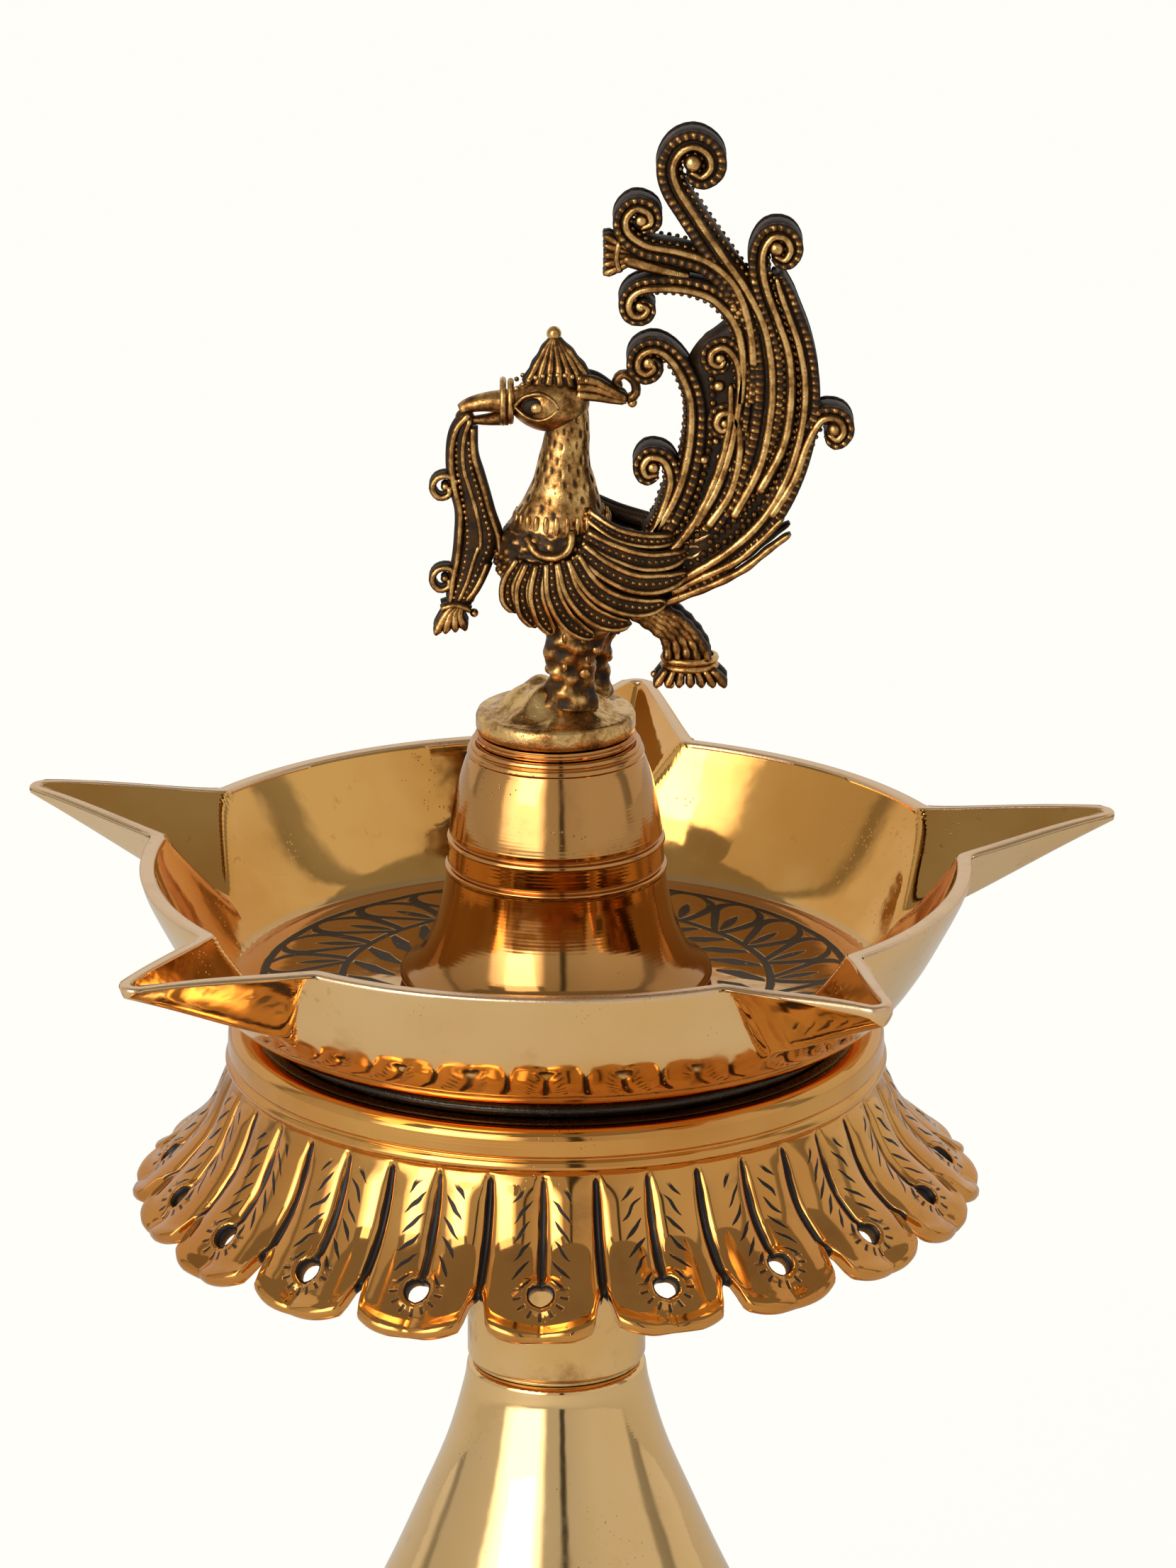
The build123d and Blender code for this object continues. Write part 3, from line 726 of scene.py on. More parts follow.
def dishBrass():
    # polished brass with a blackened engraved wreath on the floor: a ring line, leaning leaves whose edges are
    # lines, a filled drop inside each, small triangles between their heads, and a ring of leaning hatch marks.
    # The rim is satin. Bearing and distance from the axis come from the object's own coordinates.
    f = Finish("dishBrass")
    place = f.place()
    tone, roughness, height = brassSurface(f, place, patches=0.5, stains=0.3, pitting=0.5, brush=0.0)
    # painted reflection: inside the bowl and low on the outer wall the tone turns a deeper orange, for light
    # bounced off the brass around it
    lining = f.noise(place, 34.0, 4.0)
    lined = f.mix(f.step(lining, 0.35, 0.7), (0.90, 0.49, 0.14), (0.76, 0.36, 0.08))
    tone = f.mix(f.mark("lining"), tone, lined)
    x, y, z = f.axes(place)
    wobble = f.noise(place, 90.0, 2.0)
    reach = f.math("SQRT", x * x + y * y) / mm + (wobble - 0.5) * 0.8
    turn = f.math("ARCTAN2", x, y * -1.0) / tau
    e = engraving
    share = (reach - e["inner"]) / (e["outer"] - e["inner"])
    leaf = turn * e["leaves"] + (1 - share) * e["lean"] + (wobble - 0.5) * 0.12
    off = f.math("PINGPONG", leaf, 0.5) * 2.0
    headAway = f.absolute((share - e["headAt"]) / (1 - e["headAt"]))
    head = f.math("SQRT", f.highest(1 - f.math("POWER", headAway, 2.3), 0.0))
    stem = f.math("POWER", f.highest(share / e["headAt"], 0.0), 0.55)
    isHead = f.math("GREATER_THAN", share, e["headAt"])
    body = (head * isHead + stem * (1 - isHead)) * 0.9
    outline = 1 - f.step(f.absolute(off - body), 0.15, 0.22)
    dropHalf = f.highest(1 - f.math("POWER", f.absolute((share - 0.36) / 0.3), 2.0), 0.0) * 0.22
    drop = (1 - f.step(off - dropHalf, -0.05, 0.03)) * f.step(dropHalf, 0.01, 0.05)
    corner = f.step(off - body, 0.22, 0.3) * f.step(share, 0.7, 0.76) * (1 - f.step(share, 0.84, 0.9))
    wreath = f.highest(outline, drop, corner * 0.9) * f.step(share, 0.0, 0.02) * (1 - f.step(share, 1.0, 1.02))
    rings = f.highest(1 - f.step(f.absolute(reach - e["outer"] - 0.3), 0.5, 0.8),
                      1 - f.step(f.absolute(reach - e["inner"]), 0.45, 0.75))
    hatchTurn = f.math("PINGPONG", turn * e["hatches"] + reach * 0.11, 0.5)
    hatchShare = f.absolute((reach - e["hatchAt"]) / e["hatchHalf"])
    hatch = (1 - f.step(hatchTurn + hatchShare * 0.2, 0.24, 0.32)) * (1 - f.step(hatchShare, 0.9, 1.0))
    onFloor = 1 - f.step(z, (dishFloor + 0.5) * mm, (dishFloor + 0.9) * mm)
    onFloor = onFloor * f.step(z, (dishFloor - 1.0) * mm, (dishFloor - 0.6) * mm)
    cut = f.highest(wreath, rings, hatch) * onFloor
    tone = f.mix(onFloor * 0.7, tone, (0.68, 0.43, 0.19))
    cut = cut * (1 - f.step(f.noise(place, 520.0, 3.0, 0.7), 0.62, 0.75) * 0.5)
    rust = f.step(f.noise(place, 300.0, 5.0, 0.7), 0.6, 0.72) * f.step(f.noise(place, 40.0, 2.0), 0.5, 0.62)
    tone = f.mix(rust * 0.5, tone, (0.45, 0.17, 0.06))
    rim = f.mark("worn")
    filed = f.noise(place, 900.0, 4.0, 0.7)
    tone = f.mix(rim * 0.55, tone, (0.85, 0.60, 0.42))
    tone = f.mix(rim * f.step(filed, 0.62, 0.75) * 0.5, tone, (0.30, 0.16, 0.08))
    tone = f.mix(cut * 0.96, tone, e["black"])
    roughness = roughness + rim * 0.2 + cut * 0.4
    return f.finish({"Base Color": tone, "Metallic": 1 - cut * 0.6, "Roughness": roughness,
                     "Normal": f.bump(height - cut * 2.5 + rim * filed * 0.6, 0.00008)})


makePiece("oilDish", [dishSheet()], dishBrass(), "dish", ["oil_dish"], ("worn", "lining"))

# column
column = {
    "foot": [(12.05, 0), (23.9, 0, 0.5), (24.8, 0.6, 0.5), (24.3, 1.6)],
    "flare": [(24.3, 1.6), (22.4, 3.0), (20.9, 4.8), (19.3, 8.2), (18.35, 11.4), (17.6, 15.0), (17.2, 18.0)],
    "ribs": [(17.2, 18.0), (17.55, 18.15, 0.2), (17.5, 18.8, 0.2), (16.75, 19.0, 0.15), (16.75, 19.3, 0.15),
             (17.1, 19.5, 0.2), (16.95, 22.7, 0.2), (17.25, 22.85, 0.15), (17.1, 23.4, 0.15),
             (16.45, 23.6, 0.15), (16.45, 23.85, 0.1), (16.8, 24.1, 0.2), (16.75, 24.8)],
    "barrel": [(16.75, 24.8), (16.4, 27.0), (15.85, 29.8), (15.2, 32.8), (14.3, 35.6), (13.7, 36.9)],
    "crown": [(13.7, 36.9), (13.95, 37.1, 0.2), (13.8, 37.8, 0.2), (13.3, 38.0, 0.15), (13.5, 38.4, 0.2),
              (13.3, 39.0, 0.3), (8.05, 39.0), (8.05, 25.2), (11.3, 23.0), (12.05, 14.0), (12.05, 0)],
}
columnOutline = np.vstack([
    turning(column["foot"]), curve(column["flare"], 44)[1:], turning(column["ribs"], 0.3)[1:],
    curve(column["barrel"], 36)[1:], turning(column["crown"], 0.6)[1:-1]]) + [0, columnLow]
columnBrass = polishedBrass(
    "columnBrass", stains=0.6, pitting=1.0, patches=0.4, tones=("brown", "honey"), satin=0.035, brush=0.25,
    # painted shade: the deep tone darkens the column's flared foot, where it stands in the dish
    deep=(columnLow + 1, columnLow + 12),
    bands=[(columnLow + 18, columnLow + 25), (columnLow + 36, columnLow + 39)])
makePiece("bellColumn", [lathe(columnOutline, 224)], columnBrass, "column", ["bell_column"])
for name, node, bore, outer, low, high in (
        ("footBush", "column_foot_bush", 5.1, 12.0, columnLow, columnLow + 13.6),
        ("topBush", "column_top_bush", 3.6, 8.0, columnLow + 25.2, columnTop)):
    bushOutline = turning([(bore, low), (outer, low, 0.3), (outer, high, 0.3), (bore, high)])
    makePiece(name, [lathe(bushOutline, 128)], plainBrass, "column", [node])


# studs
def studSheet(node, pitch, depth):
    # a bar whose radius falls with the height within each turn of the thread: the fold of level/pitch minus the
    # share of a turn, between crest and root, faded out at the bevelled ends
    low, high = spanOf(node)
    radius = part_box(node)[1].x / mm - 0.03
    around, rows = 48, int((high - low) / pitch * 12)
    phi = np.arange(around)[:, None] / around
    z = np.linspace(low, high, rows)[None]
    fold = np.abs((z / pitch - phi) % 1 * 2 - 1)
    groove = smoothStep(fold, 0.15, 0.85)
    bevel = np.clip(np.minimum(z - low, high - z) / 0.8, 0, 1)
    r = radius - depth * groove * smoothStep(bevel, 0.3, 1) - 0.8 * (1 - bevel)
    turn = phi * tau
    points = np.stack([r * np.sin(turn), -r * np.cos(turn), np.broadcast_to(z, r.shape)], -1)
    return shell(points, marks=groove)


for node, name, body, pitch in (("base_stud", "baseStud", "base", 2.0), ("dish_stud", "dishStud", "dish", 2.0),
                                ("finial_stud", "finialStud", "finial", 1.5)):
    makePiece(name, [studSheet(node, pitch, pitch * 0.36)], plainBrass, body, [node])


# swan
# Points are (across, up) in millimetres about the swan's foot. It faces -X, and its two sides are alike.
bird = {
    "tailHalf": 3.0,
    # plumes of the tail: line, half widths at root and end, and the side of the ribbed rim, 1 at the left
    "plumes": {
        "crown": ([(27, 36), (31, 44), (32.6, 52), (32.8, 59), (31.6, 66), (29, 71.5), (26, 76), (23.0, 80.4),
                   (20.4, 84.4), (18.2, 88.0), (17.5, 91.4), (18.9, 94.2), (21.5, 95.1), (23.9, 93.5),
                   (24.3, 91.0), (22.5, 89.4), (20.6, 90.4)], 2.5, 1.9, 1),
        "leftUpper": ([(30, 60), (29.4, 66), (27.4, 72), (23.6, 75.8), (18.7, 77.6), (13.9, 78.6),
                       (10.9, 80.8), (10.5, 83.4), (12.3, 85.2), (14.6, 84.4), (15.0, 82.4), (13.3, 81.6)],
                      2.1, 1.4, 1),
        "leftLower": ([(29, 54), (29.4, 60), (28.4, 66), (25.0, 70.4), (20.8, 72.2), (16.2, 72.6),
                       (12.6, 72.0), (11.0, 70.0), (11.6, 67.8), (13.6, 67.5), (14.5, 69.0), (13.1, 70.0)],
                      2.0, 1.1, -1),
        "rightUpper": ([(31, 40), (34.6, 47), (35.8, 54), (35.6, 61), (34.0, 66.5), (32.5, 70.6),
                        (31.5, 74.4), (31.5, 78.0), (33.0, 80.6), (35.4, 80.6), (36.6, 78.4), (35.4, 76.4),
                        (33.6, 77.2)], 2.3, 1.5, 1),
        "outer": ([(20, 25), (27, 29.5), (32.6, 35), (36.4, 42), (38.6, 50), (39.0, 57), (37.9, 63.5),
                   (35.8, 69.5), (34.2, 74)], 2.4, 1.6, -1),
        "thirdCurl": ([(15, 32), (18.0, 36.5), (20.2, 42), (21.3, 48), (21.4, 53.6), (20.1, 58.0),
                       (17.9, 61.3), (15.3, 62.8), (12.9, 61.8), (12.4, 59.4), (14.0, 58.2), (15.6, 59.4),
                       (14.8, 60.8)], 2.1, 1.3, -1),
        "middleCurl": ([(22, 34), (25.4, 40), (27.6, 47), (28.6, 53), (28.9, 57.8), (28.1, 61.2),
                        (26.0, 63.2), (23.8, 62.2), (23.8, 60.2), (25.5, 59.6), (26.3, 60.8)], 2.0, 1.2, -1),
        "lowCurl": ([(24, 34), (27.2, 39), (28.7, 44.5), (28.7, 49.5), (27.2, 52.5), (25.2, 52.4),
                     (24.5, 50.6), (25.6, 49.2), (27.0, 50.0)], 1.6, 1.1, -1),
        "innerCurl": ([(12, 27), (15.6, 33), (17.4, 38), (18.2, 41.6), (17.0, 44.9), (14.5, 45.6),
                       (13.2, 43.8), (14.0, 41.9), (15.8, 42.4)], 1.7, 1.2, -1),
        "rightCurl": ([(33, 36), (36.4, 41.5), (38.2, 46.6), (39.5, 49.6), (41.3, 51.8), (43.9, 51.6),
                       (44.9, 49.4), (43.5, 47.7), (42.0, 48.9)], 1.8, 1.3, 1),
    },
    "backing": {
        "left": [(10, 21), (13.5, 28), (16.2, 35), (18.6, 41), (20.2, 47), (20.3, 53), (19.9, 58.5),
                 (22.0, 63.0), (26.5, 67.0), (29.0, 71.0)],
        "right": [(15, 18.6), (23, 23.6), (31.5, 29.5), (36.2, 37), (38.6, 44), (39.9, 51), (40.2, 57),
                  (39.0, 63.5), (36.6, 69.5), (34.6, 73.5)],
    },
    # worn ridges laid on the fan, with rows of beads between them
    "ridges": [
        [(18, 23.5), (23, 26), (28, 28.5), (32, 32), (35.3, 35.6)],
        [(17, 29), (21, 34), (24, 40), (26, 46), (27, 52), (27, 57)],
        [(16, 21.5), (20, 23), (25, 25), (29.4, 27.4), (33, 30.4), (36.4, 33.0)],
    ],
    "beadRows": [
        [(24, 31.6), (28, 35.4), (31.4, 40.4), (33.8, 46), (35.1, 52), (35.4, 58), (34.6, 64), (33.2, 69)],
        [(23, 29.6), (27.6, 32.6), (32, 37.4), (35.2, 43), (37.3, 49), (38.1, 55), (37.7, 61), (36.0, 67)],
        [(19.5, 29.8), (23.6, 34.8), (27.4, 40.6), (30, 47), (31.2, 54), (31, 60), (29.6, 66)],
        [(17.6, 31), (20.6, 36), (22.8, 42), (23.9, 48), (24.3, 54), (23.9, 59)],
        [(20, 24.6), (25, 27.2), (30, 30.6), (34, 35.2), (36.8, 40.4)],
    ],
    "knobs": [(21.1, 92.0, 1.5), (34.0, 78.5, 1.3), (13.2, 82.9, 1.1), (13.1, 69.3, 1.0), (14.4, 60.3, 1.2),
              (25.4, 61.0, 1.0), (26.2, 50.6, 0.9), (15.1, 43.5, 1.1), (43.1, 49.7, 1.2), (25.4, 45.3, 0.7),
              (27.0, 43.3, 0.6), (25.2, 56.6, 1.0), (23.0, 44.8, 0.8), (24.8, 47.8, 0.6)],
    # feathers of the wing, from the shoulder back
    "feathers": [
        ([(4.6, 33.6), (9, 31.4), (14, 29.6), (19, 29.4), (22.5, 30.2)], 1.5),
        ([(3.8, 31.8), (8, 28.6), (12.5, 26.4), (17, 26.0), (20.5, 26.6)], 1.6),
        ([(2.8, 30.6), (5.6, 26.2), (9.4, 23.4), (13.8, 22.2), (17.0, 22.6)], 1.5),
        ([(1.2, 30.0), (2.6, 25.4), (5.4, 21.8), (8.8, 19.8), (11.5, 19.6)], 1.4),
        ([(-0.6, 29.6), (-0.2, 24.8), (1.6, 20.8), (4.2, 18.2), (6.0, 17.4)], 1.35),
        ([(-2.2, 29.2), (-2.9, 24.8), (-1.9, 20.6), (-0.4, 17.8)], 1.25),
        ([(-3.8, 29.2), (-5.1, 25.4), (-4.7, 21.8), (-3.2, 19.0)], 1.15),
        ([(-5.4, 29.6), (-7.2, 26.2), (-7.3, 23.4), (-6.2, 21.4)], 1.1),
        ([(4.8, 36.6), (9.6, 33.8), (15, 32.4), (20, 32.2), (24, 33.0)], 1.2),
    ],
}


def ray(points, y, steps=None):
    # a smooth line of points (across, up) at equal distances, set at a distance y from the middle plane
    line = curve(points, 12 * len(points))
    length = np.linalg.norm(np.diff(line, axis=0), axis=1).sum()
    line = evenly(line, steps or max(6, int(length / 0.55)))
    depth = y(line[:, 0], line[:, 1]) if callable(y) else np.full(len(line), float(y))
    return np.stack([line[:, 0], depth, line[:, 1]], -1)


def crosswise(path):
    # the path's slope turned a quarter round in the plane of its two sides' outline
    tangent = np.gradient(path, axis=0)
    tangent /= np.maximum(np.linalg.norm(tangent, axis=1), 1e-9)[:, None]
    return np.stack([-tangent[:, 2], np.zeros(len(path)), tangent[:, 0]], -1)


def strand(path, across, deep, sides=10, crest=0.0, dark=0.0, bright=1.0, power=1.0):
    # a bar along a path: at each point an oval of half widths across and deep, in the plane of the path's own
    # normal and Y. The worn mark rises from dark on the flanks to bright on the side that faces crest.
    n = len(path)
    sideways = crosswise(path * [1, 0, 1])
    phi = (np.arange(sides) + 0.5) / sides * tau
    c, s = np.cos(phi), np.sin(phi)
    c, s = np.sign(c) * np.abs(c) ** power, np.sign(s) * np.abs(s) ** power
    across, deep = np.broadcast_to(across, n), np.broadcast_to(deep, n)
    points = (path[None] + c[:, None, None] * across[None, :, None] * sideways[None]
              + s[:, None, None] * deep[None, :, None] * np.array([0, 1.0, 0]))
    facing = np.clip(s * np.sign(crest), 0, 1)[:, None] if crest else np.full((sides, 1), 0.5)
    worn = dark + (bright - dark) * np.broadcast_to(facing, (sides, n)) ** 1.6
    return shell(points, marks=np.ascontiguousarray(worn))


def tapered(n, start, end, tip=0.5, closeAt=0.06):
    # widths from start to end, rounded off to tip times the end width over the last of the line
    t = np.linspace(0, 1, n)
    width = start + (end - start) * t
    return width * (tip + (1 - tip) * np.clip((1 - t) / closeAt, 0, 1) ** 0.5)


def ball(centre, radii, around=10, rings=6, worn=0.75, crest=0.0):
    # a closed egg on a grid of latitude and longitude
    lat = np.linspace(-1, 1, rings + 2)[1:-1] * np.pi / 2
    lon = np.arange(around) / around * tau
    radii = np.broadcast_to(np.asarray(radii, float), 3)
    shape = np.stack([np.outer(np.cos(lon), np.cos(lat)), np.outer(np.sin(lon), np.cos(lat)),
                      np.broadcast_to(np.sin(lat), (around, rings))], -1)
    marks = np.full((around, rings), float(worn))
    if crest:
        marks = worn * (0.25 + 0.75 * np.clip(shape[..., 1] * crest, 0, 1))
    egg = shell(np.asarray(centre, float) + shape * radii, marks=marks)
    egg[0][-2:] = np.asarray(centre) + np.outer([-1, 1], [0, 0, radii[2]])
    return egg


def beadRow(path, size, gap, worn=0.8):
    # small eggs along a path, all made in one array
    length = np.linalg.norm(np.diff(path, axis=0), axis=1).sum()
    spots = evenly(path, max(2, int(length / gap)))
    verts, quads, tris, marks = ball((0, 0, 0), (size, size * 0.8, size), 6, 3, worn)
    count = np.arange(len(spots))[:, None, None] * len(verts)
    return ((verts[None] + spots[:, None]).reshape(-1, 3), (quads[None] + count).reshape(-1, 4),
            (tris[None] + count).reshape(-1, 3), np.tile(marks, (len(spots), 1)))


def hoop(loop, outward, axis, thick, worn):
    # a round bar bent into a closed loop: at each point a circle in the plane of outward and the axis
    section = (np.arange(8) / 8 * tau)[:, None, None]
    around = np.cos(section) * outward + np.sin(section) * np.array(axis, float)
    return shell(loop + thick * around, True, worn)


def slab(left, right, half, steps=70, sides=13, dark=0.28):
    # a plate between two edges; it thins to its edges by the fourth power of the share across
    a, b = evenly(curve(left, 200), steps), evenly(curve(right, 200), steps)
    share = np.linspace(0, 1, sides)
    thick = half * (1 - np.abs(share * 2 - 1) ** 4) ** 0.5 + 0.02
    flat = a[None] + (b - a)[None] * share[:, None, None]
    front = np.stack([flat[..., 0], np.broadcast_to(-thick[:, None], flat.shape[:2]), flat[..., 1]], -1)
    back = front[::-1] * [1, -1, 1]
    return shell(np.vstack([front, back[1:-1]]), marks=dark)


def plume(line, widthA, widthB, rimSide):
    # a dark bar through the tail's thickness; on both faces a worn ridge runs inside its middle, a ribbed rim
    # outside it and small beads along its inner edge
    half = bird["tailHalf"]
    core = ray(line, 0.0)
    n = len(core)
    width = tapered(n, widthA, widthB)
    parts = [strand(core, width, half, 12, dark=0.3, bright=0.36, power=0.75)]
    sideways = crosswise(core) * rimSide
    for face in (-1, 1):
        rim = evenly(core + sideways * (width * 0.6)[:, None] + [0, face * (half - 0.1), 0], n * 2)
        beat = np.sin(np.arange(n * 2) * tau / 4.2)
        swell = np.interp(np.arange(n * 2) / 2, np.arange(n), width)
        sides = 8
        ribbed = strand(rim, swell * 0.42, 0.6 + 0.26 * beat, sides, face, 0.2, 0.85)
        ribbed[3][:sides * len(rim), 0] *= np.tile(0.68 + 0.32 * beat, sides)
        parts.append(ribbed)
        ridge = core - sideways * (width * 0.26)[:, None] + [0, face * (half + 0.05), 0]
        parts.append(strand(ridge, tapered(n, 0.85, 0.62), 0.95, 8, face, 0.25, 0.95))
        inner = core - sideways * (width - 0.3)[:, None] + [0, face * (half - 0.2), 0]
        parts.append(beadRow(inner, 0.4, 1.2, 0.62))
    return parts


def swanTail():
    # the plate behind the tail and its ten plumes
    left, right = bird["backing"]["left"], bird["backing"]["right"]
    parts = [slab(left, right, bird["tailHalf"] - 0.5)]
    for line, widthA, widthB, rimSide in bird["plumes"].values():
        parts += plume(line, widthA, widthB, rimSide)
    return parts


def swanTailTrim():
    # ridges, bead rows and knobs on both faces of the fan, and the frill at the end of the left plume
    rng = np.random.default_rng(5)
    half = bird["tailHalf"]
    parts = []
    for face in (-1, 1):
        for line in bird["ridges"]:
            path = ray(line, face * (half + 0.05))
            wave = 1 + 0.08 * np.sin(np.arange(len(path)) * 0.9 + rng.uniform(0, 6))
            parts.append(strand(path, tapered(len(path), 0.85, 0.6) * wave, 1.0, 8, face, 0.2, 0.88))
        for line in bird["beadRows"]:
            parts.append(beadRow(ray(line, face * (half - 0.1)), 0.55, 1.2, 0.6))
        for x, z, size in bird["knobs"]:
            parts.append(ball((x, face * (half - 0.2), z), (size, size, size), 12, 7, 1.0, face))
        # five short flutes that spread from a cuff
        for lift in np.linspace(-3.1, 3.1, 5):
            flute = ray([(11.5, 77.0 + lift * 0.35), (9.4, 77.1 + lift * 0.7), (7.4, 77.2 + lift)], face * 1.1)
            parts.append(strand(flute, tapered(len(flute), 0.55, 0.95, 0.3, 0.2), 1.3, 8, face, 0.25, 0.85))
        cuff = ray([(9.9, 74.6), (9.4, 77.0), (9.9, 79.4)], face * 1.6)
        parts.append(strand(cuff, 0.6, 1.3, 8, face, 0.25, 0.92))
        tail = ray([(20.5, 73.8), (17.5, 74.6), (14, 75.6), (10.5, 76.7)], face * 1.4)
        parts.append(strand(tail, tapered(len(tail), 1.0, 1.3), 1.6, 8, face, 0.25, 0.85))
    return parts


def bodyDepth(x, z):
    # distance of the body's and wing's skin from the middle plane: an egg that widens towards the shoulder
    left = 1 - ((x - 4.5) / 17.0) ** 2 - ((z - 26.0) / 12.0) ** 2
    return 8.6 * np.sqrt(np.clip(left, 0.03, 1))


neckShape = {
    "line": [(-0.4, 27.5), (0.4, 32), (1.0, 36), (1.3, 40), (1.3, 43), (1.6, 46), (1.9, 49), (1.6, 52)],
    "levels": [27, 31, 34, 37, 40, 43, 46, 49, 52],
    "halfLong": [8.8, 8.4, 7.4, 6.2, 5.1, 4.2, 3.7, 3.4, 3.5],
    "halfWide": [7.2, 6.9, 6.2, 5.4, 4.6, 3.9, 3.4, 3.1, 3.2],
    "flecksRound": 17, "rowHeight": 2.1,
}


def swanNeck():
    # breast and neck as one bar. On a grid of staggered cells the neck has sunk flecks, and below a level the
    # breast has raised scales.
    n = neckShape
    line = evenly(ray(n["line"], 0.0, 44), 96)
    halfLong = np.interp(line[:, 2], n["levels"], n["halfLong"])
    halfWide = np.interp(line[:, 2], n["levels"], n["halfWide"])
    throat = strand(line, halfLong, halfWide, 72, dark=0.6, bright=0.6)
    spots, marks = throat[0], throat[3]
    turn = np.arctan2(spots[:, 1], spots[:, 0] - 1.2) / tau * n["flecksRound"]
    rowOf = spots[:, 2] / n["rowHeight"] + 0.25 * np.sin(turn * 2.3)
    cellU = (turn + 0.5 * (np.floor(rowOf) % 2)) % 1 - 0.5
    fleck = smoothStep(np.hypot(cellU * 3.2, rowOf % 1 - 0.5), 0.46, 0.15)
    scales = smoothStep(np.hypot(cellU * 1.5, rowOf * 1.4 % 1 - 0.5), 0.5, 0.2)
    breast = smoothStep(spots[:, 2], 34.5, 33.0)
    marks[:, 0] = (0.82 - 0.5 * fleck) * (1 - breast) + (0.3 + 0.5 * scales) * breast
    relief = -0.18 * fleck * (1 - breast) + 0.35 * scales * breast
    spots[:, :2] += relief[:, None] * np.sign(spots[:, :2] - [1.2, 0])
    return throat


def swanBody():
    # an egg that leans and ripples, the neck, and on each side the wing's feathers, a scroll, the collar's
    # upright ribs and rows of scales on the breast
    rng = np.random.default_rng(8)
    centre = np.array([4.2, 0, 26.6])
    long, wide, high = 13.4, 7.6, 8.6
    egg = ball(centre, (long, wide, high), 40, 24, 0.42)
    fromCentre = egg[0][:, 0] - centre[0]
    egg[0][:, 2] += -0.16 * fromCentre + 0.5 * np.sin(fromCentre * 0.9)
    parts = [egg, swanNeck()]
    for face in (-1, 1):
        for line, width in bird["feathers"]:
            skin = ray(line, lambda x, zz: face * (bodyDepth(x, zz) - 0.3))
            n = len(skin)
            size = tapered(n, width * 0.75, width * 1.1, 0.25, 0.25)
            parts.append(strand(skin, size, 1.1, 10, dark=0.3, bright=0.36))
            sideways = crosswise(skin)
            for edge in (-1, 1):
                path = skin + sideways * (edge * (size - 0.15))[:, None] + [0, face * 0.75, 0]
                parts.append(strand(path, tapered(n, 0.58, 0.46), 0.75, 8, face, 0.25, 0.98))
            parts.append(beadRow(skin + [0, face * 0.95, 0], 0.4, 1.0, 0.66))
        scroll = ray([(2.6, 34.4), (2.2, 31.8), (0.2, 30.4), (-2.8, 30.8), (-4.6, 33.2)],
                     lambda x, zz: face * (bodyDepth(x, zz) - 0.1))
        parts.append(strand(scroll, 0.75, 0.9, 10, face, 0.3, 0.75))
        for turn in np.linspace(0.08, np.pi - 0.08, 14):
            middle = (1.0 - 7.3 * np.cos(turn), face * 6.2 * np.sin(turn), 34.0 + 0.9 * np.sin(turn))
            parts.append(ball(middle, (0.5, 0.55, 1.7), 8, 6, 0.85))
        for row in range(5):
            lat = -0.62 + 0.17 * row
            for turn in np.arange(0.04, 1.25, 0.17) + 0.085 * (row % 2):
                x, y = -long * np.cos(turn) * np.cos(lat), face * wide * np.sin(turn) * np.cos(lat)
                spot = centre + [x, y, high * np.sin(lat) - 0.16 * x]
                parts.append(ball(spot, (0.75, 0.6, 0.62), 8, 4, rng.uniform(0.6, 0.85)))
    return parts


